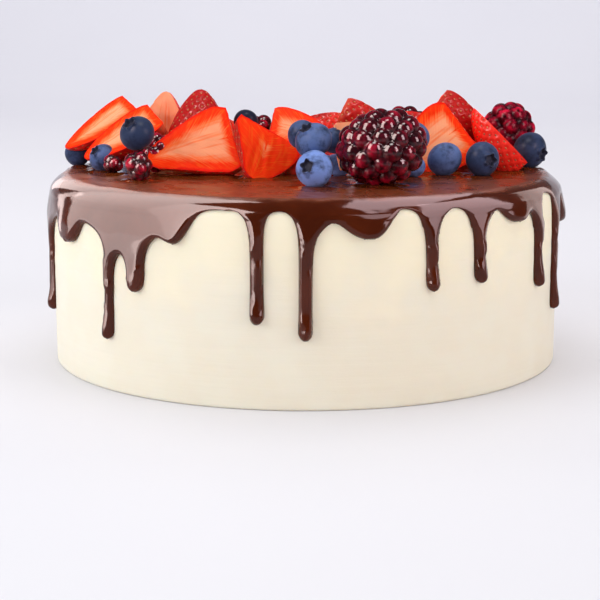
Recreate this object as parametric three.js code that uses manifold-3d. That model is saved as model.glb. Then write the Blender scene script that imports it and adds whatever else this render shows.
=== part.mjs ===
// A drip cake: a round cake in white buttercream, a dark chocolate glaze that runs down its side in
// drips, and a heap of strawberry pieces, blueberries and brambles on top.
// Millimetres, +Z up, origin at the centre of the base. An angle round the cake is counted in degrees
// from the front, -Y, towards the right, +X.
import * as THREE from "three";
import { ConvexGeometry } from "three/addons/geometries/ConvexGeometry.js";
import { mergeVertices } from "three/addons/utils/BufferGeometryUtils.js";
import Module from "manifold-3d";

const wasm = await Module();
wasm.setup();

// The cake in its buttercream.
const CAKE_RADIUS = 106;
const CAKE_HEIGHT = 75;
const CAKE_CORNER = 4;
const CAKE_FOOT = 1;
const CAKE_SIDES = 64;

// The glaze: a sheet on top, a skirt over the rim, and the drips.
const GLAZE_TOP = 78;
const GLAZE_INNER_CORNER = 3;
const GLAZE_FLAT_RADIUS = 97;
const GLAZE_RIM_RADIUS = 103.5;
const GLAZE_BULGE_RADIUS = 108.4;
const GLAZE_BULGE_HEIGHT = 62;
const GLAZE_SHOULDER = 72.5;
const SHOULDER_SHARE = 0.4;
const GLAZE_LIP = 1.3;
const DRIP_THICKNESS = 2.7;
const DRIP_ROOT_DEPTH = 15;
const DRIP_CLEARANCE = 0.4;
const BLUNT_WIDTH = 7;
const NARROWEST_COLUMN = 1.2;
const WIDEST_COLUMN = 6;
const GAP = 0.3;

// The drips and the blunt tongues, from the left side round the front, the right side and the back:
// angle, height of the lowest point, width.
const DRIPS = [
  [-80, 23.5, 5.2],
  [-60.1, 55.4, 13],
  [-44.6, 20.9, 5.4],
  [-36.9, 41, 6.8],
  [-27, 60.6, 9],
  [-9.75, 32.4, 5.3],
  [-0.1, 26.6, 5.2],
  [12, 63.7, 14],
  [25.4, 42.6, 5.3],
  [37.2, 44.2, 5.6],
  [48.8, 65.2, 9],
  [58.2, 37.6, 5.4],
  [70.2, 24.9, 5],
  [86, 57, 10],
  [98, 36, 5.2],
  [108, 59, 12],
  [119, 27, 5.4],
  [129, 46, 5],
  [139, 61, 11],
  [149, 33, 5.4],
  [161, 24, 5.2],
  [171, 52, 5.6],
  [182, 38, 5],
  [193, 63, 13],
  [203, 29, 5.4],
  [213, 47, 5],
  [224, 22, 5.6],
  [234, 60, 12],
  [244, 36, 5.2],
  [255, 50, 5.4],
  [267, 30, 5],
];

// The tops of the arches between them: angle, height.
const ARCHES = [
  [-68.5, 67],
  [-52.3, 65.6],
  [-40.6, 54.6],
  [-30.7, 62.4],
  [-15, 74.4],
  [-5.3, 74.4],
  [5.3, 69.6],
  [19.6, 74.6],
  [31.1, 73.8],
  [42.3, 70.8],
  [53.6, 68],
  [62.8, 74.6],
  [78, 70],
  [92, 68],
  [102, 71],
  [114, 70],
  [124, 66],
  [133.5, 72],
  [144, 70],
  [155, 73],
  [166, 67],
  [176.5, 73],
  [187, 71],
  [198, 74],
  [208, 66],
  [218.5, 72],
  [229, 69],
  [239, 73],
  [249.5, 68],
  [261, 72],
  [274, 66],
];

// The fruit. A place is that of the berry's centre or, on a cut strawberry, of the middle of its cut
// face: right, back, and up from the top of the glaze. A fruit with no height given comes down until it
// rests on the glaze or on the fruit below. A blueberry has its radius and the way its crown looks. A
// bramble has its length and width, its drupelets' radius and the way its tip points. A strawberry, cut
// in half unless it says in quarters, has its length and width, the way its tip points and the way its
// cut face looks. It is plump unless it names another outline.

// Strawberries' outlines: share of the length up from the tip, and share of the full width.
const PLUMP = [
  [0, 0],
  [0.03, 0.2],
  [0.14, 0.46],
  [0.32, 0.74],
  [0.54, 0.93],
  [0.76, 1],
  [0.92, 0.93],
  [1, 0.8],
  [1, 0],
];
const CONICAL = [
  [0, 0],
  [0.02, 0.17],
  [0.1, 0.36],
  [0.27, 0.53],
  [0.54, 0.79],
  [0.8, 0.98],
  [0.88, 1],
  [1, 0.9],
  [1, 0],
];

const BERRIES_SEEN = [
  { kind: "blueberry", at: [-98.6, 14.5, 5.4], radius: 5.4, crown: [0.3, 0.9, 0.3] },
  { kind: "blueberry", at: [-84.8, -8, 6.1], radius: 5.9, crown: [-0.54, -0.59, 0.6] },
  { kind: "blueberry", at: [-67.2, -36, 18.4], radius: 7.2, crown: [-0.44, -0.57, 0.69] },
  { kind: "blueberry", at: [-24.5, -15, 21.6], radius: 5.1, crown: [0.2, 0.9, 0.4] },
  { kind: "blueberry", at: [-1.5, -42, 18.4], radius: 5.9, crown: [-0.6, 0.7, 0.3] },
  { kind: "blueberry", at: [2.9, -56.3, 17.4], radius: 7.4, crown: [-0.45, -0.45, 0.77] },
  { kind: "blueberry", at: [3.1, -66, 7.2], radius: 7.2, crown: [-0.44, -0.86, 0.26] },
  { kind: "blueberry", at: [11.5, -36, 15.5], radius: 5.6, crown: [0.1, 0.7, 0.7] },
  { kind: "blueberry", at: [43.6, -36, 17], radius: 6.1, crown: [0.6, 0.7, 0.4] },
  { kind: "blueberry", at: [56.5, -26, 7.1], radius: 7.1, crown: [-0.3, 0.8, 0.5] },
  { kind: "blueberry", at: [71.7, -27.5, 7.2], radius: 7.1, crown: [0.47, -0.88, 0.03] },
  { kind: "blueberry", at: [95.6, 5, 7.8], radius: 7.8, crown: [0.72, -0.67, -0.18] },
  { kind: "bramble", at: [29.5, -57, 14.8], size: [37, 30], drupelet: 4.1, tip: [-0.9, -0.3, -0.1] },
  { kind: "bramble", at: [88.6, 24, 14.9], size: [26, 24], drupelet: 3.8, tip: [0.2, 0.7, 0.65] },
  { kind: "bramble", at: [-79.4, -16.5, 4.2], size: [9, 8], drupelet: 2.6, tip: [1, 0, 0.1] },
  { kind: "bramble", at: [-66.4, -42, 6.1], size: [13, 11.4], drupelet: 3, tip: [0.2, -0.3, -0.9] },
  { kind: "bramble", at: [-60.8, -19.5, 9], size: [17, 15], drupelet: 2.9, tip: [0.3, -0.4, 0.85] },
  { kind: "bramble", at: [-19.5, -1.5, 13.6], size: [20, 17], drupelet: 3, tip: [0.1, -0.2, 0.95] },
];

const FRUIT_UNDER = [
  { kind: "blueberry", at: [4.6, -50], radius: 6.4, crown: [0.5, 0.5, 0.6] },
  { kind: "blueberry", at: [-89, 20], radius: 6.2, crown: [-0.7, 0.6, 0.3] },
  { kind: "blueberry", at: [43, -33], radius: 5.2, crown: [0.2, 0.4, 0.9] },
  { kind: "blueberry", at: [13, -29], radius: 5, crown: [0.6, 0.1, 0.7] },
  { kind: "bramble", at: [31, -14], size: [23, 17], drupelet: 3, tip: [0.9, 0.3, 0.1] },
  { kind: "strawberry", at: [3, -11], size: [26, 24], tip: [1, 0.2, 0], face: [0, 0, -1] },
  { kind: "strawberry", at: [60, 15], size: [29, 23], tip: [0.9, 0.3, 0], face: [0, 0, -1] },
];

const STRAWBERRIES_SEEN = [
  { at: [-89.3, 13, 18], size: [34, 22], tip: [-0.8, -0.24, -0.56], face: [-0.5, -0.5, 0.7] },
  { at: [-77.8, -4, 14.7], size: [35, 25], tip: [-0.84, -0.19, -0.51], face: [-0.42, -0.48, 0.77] },
  { at: [-60.4, 12, 16.9], size: [31, 24], tip: [0.05, 0.1, 1], face: [-0.45, -0.85, 0.1] },
  { at: [-45.9, 4, 17.5], size: [33, 26], tip: [0.12, 0.18, 0.98], face: [-0.3, 0.94, -0.18] },
  {
    at: [-46.5, -27, 11.7],
    size: [36, 29],
    outline: CONICAL,
    tip: [-0.96, -0.05, -0.26],
    face: [0, -0.88, 0.47],
  },
  {
    at: [-18, -33, 9.9],
    size: [25, 29],
    outline: CONICAL,
    tip: [-0.24, -0.65, -0.72],
    face: [0.5, -0.72, 0.48],
  },
  { at: [-1.4, -12, 17.6], size: [26, 20], tip: [0.97, 0, -0.2], face: [0.05, -0.75, 0.66] },
  { at: [27, -13, 20], size: [26, 20], tip: [0.9, -0.1, -0.42], face: [0.15, 0.75, 0.65] },
  {
    at: [13, -41, 9.1],
    size: [19, 18],
    quarter: true,
    tip: [0.09, -0.19, -0.98],
    face: [0.1, -0.95, 0.28],
  },
  { at: [53.4, -12, 11.7], size: [28, 29], tip: [-0.82, -0.11, -0.57], face: [0, -0.91, 0.43] },
  { at: [67.5, 12, 18.9], size: [28, 22], tip: [0.8, -0.1, -0.6], face: [0.3, 0.85, 0.45] },
  { at: [81.3, -4, 15.1], size: [31, 23], tip: [-0.69, 0.04, 0.72], face: [0.72, 0.05, 0.69] },
];

const FRUIT_BEHIND = [
  { kind: "blueberry", at: [76, 43], radius: 7, crown: [0.4, 0.8, 0.4] },
  { kind: "blueberry", at: [66, 58], radius: 6.4, crown: [-0.5, 0.6, 0.6] },
  { kind: "blueberry", at: [23, 82], radius: 6.8, crown: [0.5, 0.8, 0.2] },
  { kind: "blueberry", at: [-12, 84], radius: 7.2, crown: [-0.3, 0.9, 0.3] },
  { kind: "blueberry", at: [-27, 81], radius: 6.2, crown: [0.6, 0.5, 0.6] },
  { kind: "blueberry", at: [-76, 42], radius: 7, crown: [-0.5, 0.5, 0.7] },
  { kind: "blueberry", at: [27, 24], radius: 6.8, crown: [0.2, -0.3, 0.9] },
  { kind: "blueberry", at: [-72, 25], radius: 6.4, crown: [0.1, 0.6, 0.8] },
  { kind: "bramble", at: [46, 67], size: [30, 23], drupelet: 3.7, tip: [-0.8, 0.6, 0] },
  { kind: "bramble", at: [-66, 55], size: [25, 20], drupelet: 3.2, tip: [0.7, 0.6, 0.1] },
  { kind: "strawberry", at: [57, 42], size: [31, 25], tip: [0.7, -0.6, 0.1], face: [0.45, 0.6, 0.62] },
  { kind: "strawberry", at: [6, 72], size: [32, 24], tip: [-0.95, 0.1, -0.1], face: [0, 0.7, 0.7] },
  { kind: "strawberry", at: [-41, 62], size: [29, 24], tip: [0.8, 0.5, -0.1], face: [-0.4, 0.6, 0.65] },
  { kind: "strawberry", at: [28, 47], size: [30, 24], tip: [0.3, 0.9, 0], face: [0, 0, -1] },
  { kind: "strawberry", at: [2, 46], size: [30, 25], tip: [-0.9, 0.3, 0], face: [0, 0, -1] },
  { kind: "strawberry", at: [-34, 40], size: [31, 26], tip: [-0.6, 0.7, 0], face: [0, 0, -1] },
  { kind: "strawberry", at: [3, 19], size: [28, 23], tip: [0.8, -0.5, 0], face: [0, 0, -1] },
  {
    kind: "strawberry",
    at: [-45, 24],
    size: [27, 20],
    quarter: true,
    tip: [-0.9, 0.2, 0.1],
    face: [0.1, 0.7, 0.7],
  },
];

const SKIN_RED = 0xc81e1a;
const BERRY_BLUE = 0x3c4a72;
const BRAMBLE_RED = 0x3a0812;
const FINISH = {
  cream: { color: 0xf3ecdc, roughness: 0.6, metalness: 0 },
  glaze: { color: 0x4b2014, roughness: 0.2, metalness: 0 },
  strawberry: { color: SKIN_RED, roughness: 0.4, metalness: 0 },
  blueberry: { color: BERRY_BLUE, roughness: 0.55, metalness: 0 },
  bramble: { color: BRAMBLE_RED, roughness: 0.2, metalness: 0 },
};

const BLUEBERRY_SIDES = 10;
const BLUEBERRY_HEIGHT = 0.87;
const STRAWBERRY_SIDES = 12;
const MOST_PRESSED = 0.02;
const LIFT_STEP = 0.5;
const GOLDEN_TURN = Math.PI * (3 - Math.sqrt(5));
const CORE_SHOWS = 1;
const DRUPELET_PACKING = 3.1;
// How finely a bramble's skin is split: up to so many drupelets, so many cuts of each edge.
const BRAMBLE_FACES = [
  [16, 2],
  [45, 3],
  [60, 4],
  [Infinity, 5],
];

// The point at an angle round the cake, a distance from its axis and a height.
function roundCake(angle, radius, height) {
  const turn = THREE.MathUtils.degToRad(angle);
  return new THREE.Vector3(radius * Math.sin(turn), -radius * Math.cos(turn), height);
}

// A closed geometry as a solid that can be joined and cut.
function solidOf(geometry) {
  const bare = geometry.clone();
  bare.deleteAttribute("normal");
  bare.deleteAttribute("uv");
  const merged = mergeVertices(bare, 1e-4);
  const vertProperties = merged.attributes.position.array;
  const triVerts = new Uint32Array(merged.index.array);
  return new wasm.Manifold(new wasm.Mesh({ numProp: 3, vertProperties, triVerts }));
}

// A solid as a geometry.
function geometryOf(solid) {
  const mesh = solid.getMesh();
  const geometry = new THREE.BufferGeometry();
  geometry.setAttribute("position", new THREE.BufferAttribute(mesh.vertProperties, 3));
  geometry.setIndex(new THREE.BufferAttribute(mesh.triVerts, 1));
  geometry.computeVertexNormals();
  return geometry;
}

// The largest body of a solid, with any hollow sealed inside it filled.
function largestBody(solid) {
  return solid.decompose().sort((a, b) => b.volume() - a.volume())[0];
}

// A closed skin over a stack of rings, lowest first, each counter-clockwise from above, with a fan
// from a middle point at either end.
function loft(rings, firstMiddle, lastMiddle) {
  const sides = rings[0].length;
  const points = [...rings.flat(), firstMiddle, lastMiddle];
  const first = points.length - 2;
  const last = points.length - 1;
  const top = (rings.length - 1) * sides;
  const faces = [];
  for (let i = 0; i < sides; i++) {
    const next = (i + 1) % sides;
    faces.push(first, next, i, last, top + i, top + next);
    for (let low = 0; low < top; low += sides) {
      const high = low + sides;
      faces.push(low + i, low + next, high + next, low + i, high + next, high + i);
    }
  }
  return new THREE.BufferGeometry().setFromPoints(points).setIndex(faces);
}

// A solid of revolution about +Z from a profile of [radius, height], lowest point first.
function turned(profile, sides) {
  const points = profile.map(([radius, height]) => new THREE.Vector2(radius, height));
  return new THREE.LatheGeometry(points, sides).rotateX(Math.PI / 2);
}

function cakeGeometry() {
  const profile = [
    [0, 0],
    [CAKE_RADIUS - CAKE_FOOT, 0],
    [CAKE_RADIUS, CAKE_FOOT],
  ];
  for (let step = 0; step <= 3; step++) {
    const turn = (step / 3) * (Math.PI / 2);
    const radius = CAKE_RADIUS - CAKE_CORNER * (1 - Math.cos(turn));
    profile.push([radius, CAKE_HEIGHT - CAKE_CORNER * (1 - Math.sin(turn))]);
  }
  profile.push([0, CAKE_HEIGHT]);
  return turned(profile, CAKE_SIDES);
}

// How far the inside of the glaze is from the cake's axis at a height.
function innerSide(height) {
  const foot = CAKE_HEIGHT - GLAZE_INNER_CORNER;
  const up = THREE.MathUtils.clamp((height - foot) / GLAZE_INNER_CORNER, 0, 1);
  return CAKE_RADIUS + GAP - GLAZE_INNER_CORNER * (1 - Math.sqrt(1 - up * up));
}

// How far the outside of the glaze is from the cake's axis at a height: round at the rim, then
// swelling slowly down to where the skirt is thickest.
function glazeSide(height) {
  const down = THREE.MathUtils.clamp((GLAZE_TOP - height) / (GLAZE_TOP - GLAZE_BULGE_HEIGHT), 0, 1);
  return GLAZE_RIM_RADIUS + (GLAZE_BULGE_RADIUS - GLAZE_RIM_RADIUS) * Math.sqrt(1 - (1 - down) ** 2);
}

// The height of the line through the tops of the arches, at an angle.
function archLine(angle) {
  const last = ARCHES.length - 1;
  const before = [ARCHES[last][0] - 360, ARCHES[last][1]];
  const after = [ARCHES[0][0] + 360, ARCHES[0][1]];
  const tops = [before, ...ARCHES, after];
  const right = tops.findIndex(([at]) => at > angle);
  const [fromAngle, fromHeight] = tops[right - 1];
  const [toAngle, toHeight] = tops[right];
  const along = (angle - fromAngle) / (toAngle - fromAngle);
  return fromHeight + (toHeight - fromHeight) * (0.5 - 0.5 * Math.cos(Math.PI * along));
}

// Half the angle that a width takes up on the cake's side.
function halfAngle(width) {
  return THREE.MathUtils.radToDeg(width / 2 / CAKE_RADIUS);
}

// The height of the skirt's lower edge at an angle: the arches, pulled down under each drip.
function skirtEdge(angle) {
  let edge = archLine(angle);
  for (const [at, low, width] of DRIPS) {
    const top = archLine(at);
    const depth = top - Math.max(low, top - DRIP_ROOT_DEPTH);
    const away = Math.abs(angle - at) / halfAngle(width);
    edge = Math.min(edge, archLine(angle) - depth / (1 + away ** 3));
  }
  return edge;
}

// The angles at which the skirt is measured out: close together by a drip, wider elsewhere.
function skirtColumns() {
  const wanted = ARCHES.map(([at]) => at);
  for (const [at, , width] of DRIPS) {
    const reach = halfAngle(width);
    wanted.push(at - 2 * reach, at - reach, at + reach, at + 2 * reach);
    if (width > BLUNT_WIDTH) wanted.push(at);
  }
  wanted.sort((a, b) => a - b);
  const columns = [];
  wanted.forEach((angle, i) => {
    const next = i + 1 < wanted.length ? wanted[i + 1] : wanted[0] + 360;
    const parts = Math.ceil((next - angle) / WIDEST_COLUMN);
    if (next - angle < NARROWEST_COLUMN) return;
    for (let part = 0; part < parts; part++) columns.push(angle + ((next - angle) * part) / parts);
  });
  return columns;
}

function skirtSolid() {
  const columns = skirtColumns();
  const ceiling = CAKE_HEIGHT + GAP;
  const innerFlat = CAKE_RADIUS - GLAZE_INNER_CORNER / 2;
  const cornerHeight = CAKE_HEIGHT - GLAZE_INNER_CORNER / 2;
  const outerRing = (share, lowest) =>
    columns.map((angle) => {
      const lip = skirtEdge(angle) + GLAZE_LIP;
      const height = Math.max(lip + (GLAZE_TOP - lip) * share, lowest);
      return roundCake(angle, glazeSide(height), height);
    });
  const rings = [
    columns.map((angle) => roundCake(angle, innerFlat, ceiling)),
    columns.map((angle) => {
      const height = skirtEdge(angle) + GAP;
      if (height < cornerHeight) return roundCake(angle, CAKE_RADIUS + GAP, cornerHeight);
      return roundCake(angle, innerSide(height), height);
    }),
    columns.map((angle) => roundCake(angle, innerSide(skirtEdge(angle)), skirtEdge(angle))),
    outerRing(0, 0),
    outerRing(SHOULDER_SHARE, GLAZE_SHOULDER),
    columns.map((angle) => roundCake(angle, GLAZE_RIM_RADIUS, GLAZE_TOP - GAP)),
    columns.map((angle) => roundCake(angle, GLAZE_FLAT_RADIUS, GLAZE_TOP)),
  ];
  return solidOf(loft(rings, new THREE.Vector3(0, 0, ceiling), new THREE.Vector3(0, 0, GLAZE_TOP)));
}

// One drip: a flattened run of glaze with a round drop at its end, its back along the cake's side.
function dripSolid([angle, low, width]) {
  const root = archLine(angle) - DRIP_ROOT_DEPTH / 2;
  // Height, width and thickness of each section, from the drop's end up.
  const sections = [
    [low, 0.4 * width, 0.35 * DRIP_THICKNESS],
    [low + 0.14 * width, 0.82 * width, 0.8 * DRIP_THICKNESS],
    [low + 0.55 * width, 1.12 * width, 1.2 * DRIP_THICKNESS],
    [low + 1.3 * width, 1.04 * width, 1.08 * DRIP_THICKNESS],
    [low + 2.4 * width, 0.9 * width, 0.9 * DRIP_THICKNESS],
    [root, 1.1 * width, 0.85 * DRIP_THICKNESS],
    [root + DRIP_ROOT_DEPTH / 4, width, 0.4 * DRIP_THICKNESS],
  ];
  const back = CAKE_RADIUS + DRIP_CLEARANCE;
  const rings = sections.map(([height, wide, thick]) => {
    const ring = [];
    for (const turn of [180, 130, 90, 50, 0]) {
      const across = (wide / 2) * Math.cos(THREE.MathUtils.degToRad(turn));
      const out = back + thick * Math.sin(THREE.MathUtils.degToRad(turn));
      const point = new THREE.Vector3(across, -out, height);
      ring.push(point.applyAxisAngle(new THREE.Vector3(0, 0, 1), THREE.MathUtils.degToRad(angle)));
    }
    return ring;
  });
  const middle = (height) => roundCake(angle, back + GAP / 2, height);
  return solidOf(loft(rings, middle(low), middle(root + DRIP_ROOT_DEPTH / 4)));
}

function glazeGeometry() {
  let glaze = skirtSolid();
  for (const drip of DRIPS) {
    if (drip[2] <= BLUNT_WIDTH) glaze = glaze.add(dripSolid(drip));
  }
  return geometryOf(largestBody(glaze));
}

// A blueberry, crown up: a flattened ball with a five-lobed crown round a shallow cup.
function blueberrySolid({ radius }) {
  const profile = [];
  for (const degrees of [-90, -46, -10, 28]) {
    const turn = THREE.MathUtils.degToRad(degrees);
    profile.push([radius * Math.cos(turn), radius * BLUEBERRY_HEIGHT * Math.sin(turn)]);
  }
  profile[0][0] = 0;
  const crown = 0.9 * radius;
  profile.push([0.44 * radius, 0.74 * radius], [0.47 * radius, crown], [0.3 * radius, 0.7 * radius]);
  profile.push([0, 0.66 * radius]);
  const geometry = turned(profile, BLUEBERRY_SIDES);
  const place = geometry.attributes.position;
  for (let i = 0; i < place.count; i++) {
    const turn = Math.atan2(place.getX(i), -place.getY(i));
    const between = Math.cos((BLUEBERRY_SIDES / 2) * turn) < 0;
    if (Math.abs(place.getZ(i) - crown) < 1e-3 && between) place.setZ(i, 0.8 * radius);
  }
  return solidOf(geometry);
}

// A strawberry, tip down, its top cut off flat and its cut face towards -Y.
function strawberrySolid({ size: [length, width], outline = PLUMP, quarter }) {
  const profile = outline.map(([up, wide]) => [(wide * width) / 2, (up - 0.5) * length]);
  const whole = solidOf(turned(profile, STRAWBERRY_SIDES));
  const kept = new THREE.BoxGeometry(2 * width, width, 2 * length);
  kept.translate(quarter ? width : 0, width / 2, 0);
  return whole.intersect(solidOf(kept));
}

// How far out of a bramble's middle its skin is along a direction: the farthest drupelet met, or else
// the core.
function brambleReach(direction, drupelets, radius, core) {
  const { x, y, z } = direction;
  let reach = 1 / Math.sqrt((x * x + y * y) / core.x ** 2 + (z * z) / core.z ** 2);
  for (const middle of drupelets) {
    const along = middle.dot(direction);
    const missed = middle.lengthSq() - along * along;
    if (along > 0 && missed < radius * radius) {
      reach = Math.max(reach, along + Math.sqrt(radius * radius - missed));
    }
  }
  return reach;
}

// A bramble, tip up: round drupelets set in a spiral over a core, as one bumpy skin.
function brambleSolid({ size: [length, width], drupelet }) {
  const across = width / 2 - drupelet;
  const along = length / 2 - drupelet;
  const core = new THREE.Vector3(across + CORE_SHOWS, across + CORE_SHOWS, along + CORE_SHOWS);
  const count = Math.round((DRUPELET_PACKING * core.x * (core.x + core.z)) / drupelet ** 2);
  const drupelets = [];
  for (let i = 0; i < count; i++) {
    const up = 1 - (2 * (i + 0.5)) / count;
    const out = Math.sqrt(1 - up * up) * across;
    const turn = i * GOLDEN_TURN;
    drupelets.push(new THREE.Vector3(out * Math.cos(turn), out * Math.sin(turn), up * along));
  }
  const finest = BRAMBLE_FACES.find(([most]) => count <= most)[1];
  const skin = new THREE.IcosahedronGeometry(1, finest);
  const place = skin.attributes.position;
  for (let i = 0; i < place.count; i++) {
    const direction = new THREE.Vector3().fromBufferAttribute(place, i).normalize();
    direction.multiplyScalar(brambleReach(direction, drupelets, drupelet, core));
    place.setXYZ(i, direction.x, direction.y, direction.z);
  }
  return solidOf(skin);
}

const MAKERS = { blueberry: blueberrySolid, strawberry: strawberrySolid, bramble: brambleSolid };

// The turn that points a fruit's own +Z along one way and, if given, its own -Y towards another.
function turnTo(up, look) {
  const z = new THREE.Vector3(...up).normalize();
  const given = look ? new THREE.Vector3(...look) : new THREE.Vector3(0.31, -0.9, 0.28);
  const y = given.addScaledVector(z, -given.dot(z)).normalize().negate();
  const x = new THREE.Vector3().crossVectors(y, z);
  return new THREE.Quaternion().setFromRotationMatrix(new THREE.Matrix4().makeBasis(x, y, z));
}

function turnOf(fruit) {
  if (fruit.kind === "blueberry") return turnTo(fruit.crown);
  if (fruit.kind === "bramble") return turnTo(fruit.tip);
  return turnTo(fruit.tip.map((part) => -part), fruit.face);
}

// The rounded hull of a solid, grown by rather more than the gap on every side.
function grown(solid) {
  const skin = geometryOf(solid);
  const { position, normal } = skin.attributes;
  const points = [];
  for (let i = 0; i < position.count; i++) {
    const out = new THREE.Vector3().fromBufferAttribute(normal, i).multiplyScalar(1.5 * GAP);
    points.push(new THREE.Vector3().fromBufferAttribute(position, i).add(out));
  }
  return solidOf(new ConvexGeometry(points));
}

function boxesMeet(a, b) {
  const one = a.boundingBox();
  const other = b.boundingBox();
  return [0, 1, 2].every((i) => one.min[i] < other.max[i] + 2 * GAP && other.min[i] < one.max[i] + 2 * GAP);
}

// How high above the glaze a turned fruit comes to rest: raised off the glaze until it presses no more
// than a little into the fruit that lies there already.
function restingLift(turned, x, y, heap) {
  let lift = GAP - turned.boundingBox().min[2];
  for (;;) {
    const tried = turned.translate([x, y, GLAZE_TOP + lift]);
    const near = heap.filter((other) => boxesMeet(tried, other));
    const pressed = near.reduce((sum, other) => sum + tried.intersect(other).volume(), 0);
    if (pressed < MOST_PRESSED * turned.volume()) return lift;
    lift += LIFT_STEP;
  }
}

// Puts a fruit on the heap: its mesh, cut clear of the glaze and of the fruit that lies there already.
function placeFruit(fruit, name, heap) {
  const turn = turnOf(fruit);
  const own = MAKERS[fruit.kind](fruit);
  const turned = own.transform(new THREE.Matrix4().makeRotationFromQuaternion(turn).elements);
  const [x, y, lift = restingLift(turned, x, y, heap)] = fruit.at;
  const place = new THREE.Vector3(x, y, GLAZE_TOP + lift);
  const matrix = new THREE.Matrix4().compose(place, turn, new THREE.Vector3(1, 1, 1));
  let solid = turned.translate(place.toArray());
  for (const other of heap) {
    if (boxesMeet(solid, other) && solid.intersect(other).volume() > 0) {
      solid = solid.subtract(grown(other));
    }
  }
  solid = solid.trimByPlane([0, 0, 1], GLAZE_TOP + GAP);
  solid = largestBody(solid);
  heap.push(solid);
  const mesh = new THREE.Mesh(
    geometryOf(solid.transform(matrix.clone().invert().elements)),
    new THREE.MeshStandardMaterial(FINISH[fruit.kind]),
  );
  mesh.name = name;
  mesh.position.copy(place);
  mesh.quaternion.copy(turn);
  return mesh;
}

function fruitGroup() {
  const group = new THREE.Group();
  const strawberries = STRAWBERRIES_SEEN.map((berry) => ({ kind: "strawberry", ...berry }));
  const heap = [];
  const counts = {};
  for (const fruit of [...BERRIES_SEEN, ...FRUIT_UNDER, ...strawberries, ...FRUIT_BEHIND]) {
    counts[fruit.kind] = (counts[fruit.kind] || 0) + 1;
    const name = fruit.kind + "_" + String(counts[fruit.kind]).padStart(2, "0");
    group.add(placeFruit(fruit, name, heap));
  }
  return group;
}

const cake = new THREE.Group();
const cream = new THREE.Mesh(cakeGeometry(), new THREE.MeshStandardMaterial(FINISH.cream));
cream.name = "cream_cake";
const glaze = new THREE.Mesh(glazeGeometry(), new THREE.MeshStandardMaterial(FINISH.glaze));
glaze.name = "glaze";
cake.add(cream, glaze, fruitGroup());

export default cake;
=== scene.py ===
"""A drip cake, dressed: smoothed buttercream, a glossy chocolate glaze that runs down in drips, and a
heap of cut strawberries, blueberries and brambles.

Sizes are in millimetres and are turned into metres where a mesh is made. +Z is up, the origin is the
centre of the base, and an angle round the cake is counted in degrees from the front, -Y, towards the
right, +X.
"""

import logging
import math
from dataclasses import dataclass, field
from enum import Enum
from typing import Optional, Sequence

import bpy
import numpy as np
from mathutils import Matrix, Quaternion, Vector
from mathutils.kdtree import KDTree


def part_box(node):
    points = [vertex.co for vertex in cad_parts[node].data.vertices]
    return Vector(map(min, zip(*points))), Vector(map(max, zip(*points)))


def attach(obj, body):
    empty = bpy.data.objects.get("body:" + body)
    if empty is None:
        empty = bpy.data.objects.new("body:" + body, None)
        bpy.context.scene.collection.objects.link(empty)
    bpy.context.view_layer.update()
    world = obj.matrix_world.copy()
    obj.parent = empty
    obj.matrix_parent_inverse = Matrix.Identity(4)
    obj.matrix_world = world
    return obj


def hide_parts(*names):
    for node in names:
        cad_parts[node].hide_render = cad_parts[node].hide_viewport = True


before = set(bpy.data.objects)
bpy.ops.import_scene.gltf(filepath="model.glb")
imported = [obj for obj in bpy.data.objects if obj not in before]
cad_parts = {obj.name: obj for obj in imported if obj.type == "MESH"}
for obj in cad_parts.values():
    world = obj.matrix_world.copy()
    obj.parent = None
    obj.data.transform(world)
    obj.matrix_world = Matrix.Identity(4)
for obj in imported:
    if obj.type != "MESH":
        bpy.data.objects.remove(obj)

MM = 0.001
ROOT = "root"
GOLDEN_TURN = math.pi * (3 - math.sqrt(5))
Color = tuple[float, float, float]
Point = tuple[float, float, float]
Faces = list[tuple[int, ...]]
Values = float | np.ndarray
Output = bpy.types.NodeSocket
Feed = float | tuple | Output
# The CAD's solids stand this far clear of what they rest on. The dressed pieces touch it.
GAP = 0.3

log = logging.getLogger("drip_cake")


class Slot(Enum):
    """The record's material slots."""

    CREAM = "buttercream"
    GLAZE = "chocolate_glaze"
    BLUEBERRY = "blueberry"
    BRAMBLE = "bramble"
    STRAWBERRY = "strawberry"


class Cut(Enum):
    """How much of a strawberry a piece is, as the angle of skin that it keeps."""

    HALF = math.pi
    QUARTER = math.pi / 2


class Habit(Enum):
    """A strawberry's outline: pairs of height, from the tip up, and half-width, each as a share."""

    PLUMP = ((0, 0), (0.03, 0.2), (0.14, 0.46), (0.32, 0.74), (0.54, 0.93), (0.76, 1), (0.92, 0.93),
             (1, 0.8))
    CONICAL = ((0, 0), (0.02, 0.17), (0.1, 0.36), (0.27, 0.53), (0.4, 0.66), (0.54, 0.79), (0.67, 0.9),
               (0.8, 0.98), (0.88, 1), (1, 0.9))


class Wave:
    """A smooth field of gentle unevenness, the same on every run."""

    def __init__(self, seed: int, length: float, parts: int = 7) -> None:
        """Draws the field's waves.

        Args:
            seed: which field.
            length: rough distance from crest to crest.
            parts: how many waves are added up.
        """
        draw = np.random.default_rng(seed)
        ways = draw.normal(size=(parts, 3))
        ways /= np.linalg.norm(ways, axis=1)[:, None]
        self.ways = ways * (2 * math.pi / length) * draw.uniform(0.6, 1.6, size=(parts, 1))
        self.starts = draw.uniform(0, 2 * math.pi, size=parts)

    def at(self, points: np.ndarray) -> np.ndarray:
        """The field at some points.

        Args:
            points: one row of three coordinates each.

        Returns:
            One value each, mostly between -1 and 1.
        """
        waves = np.sin(points @ self.ways.T + self.starts)
        return waves.sum(axis=1) / math.sqrt(2 * len(self.starts))


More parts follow.
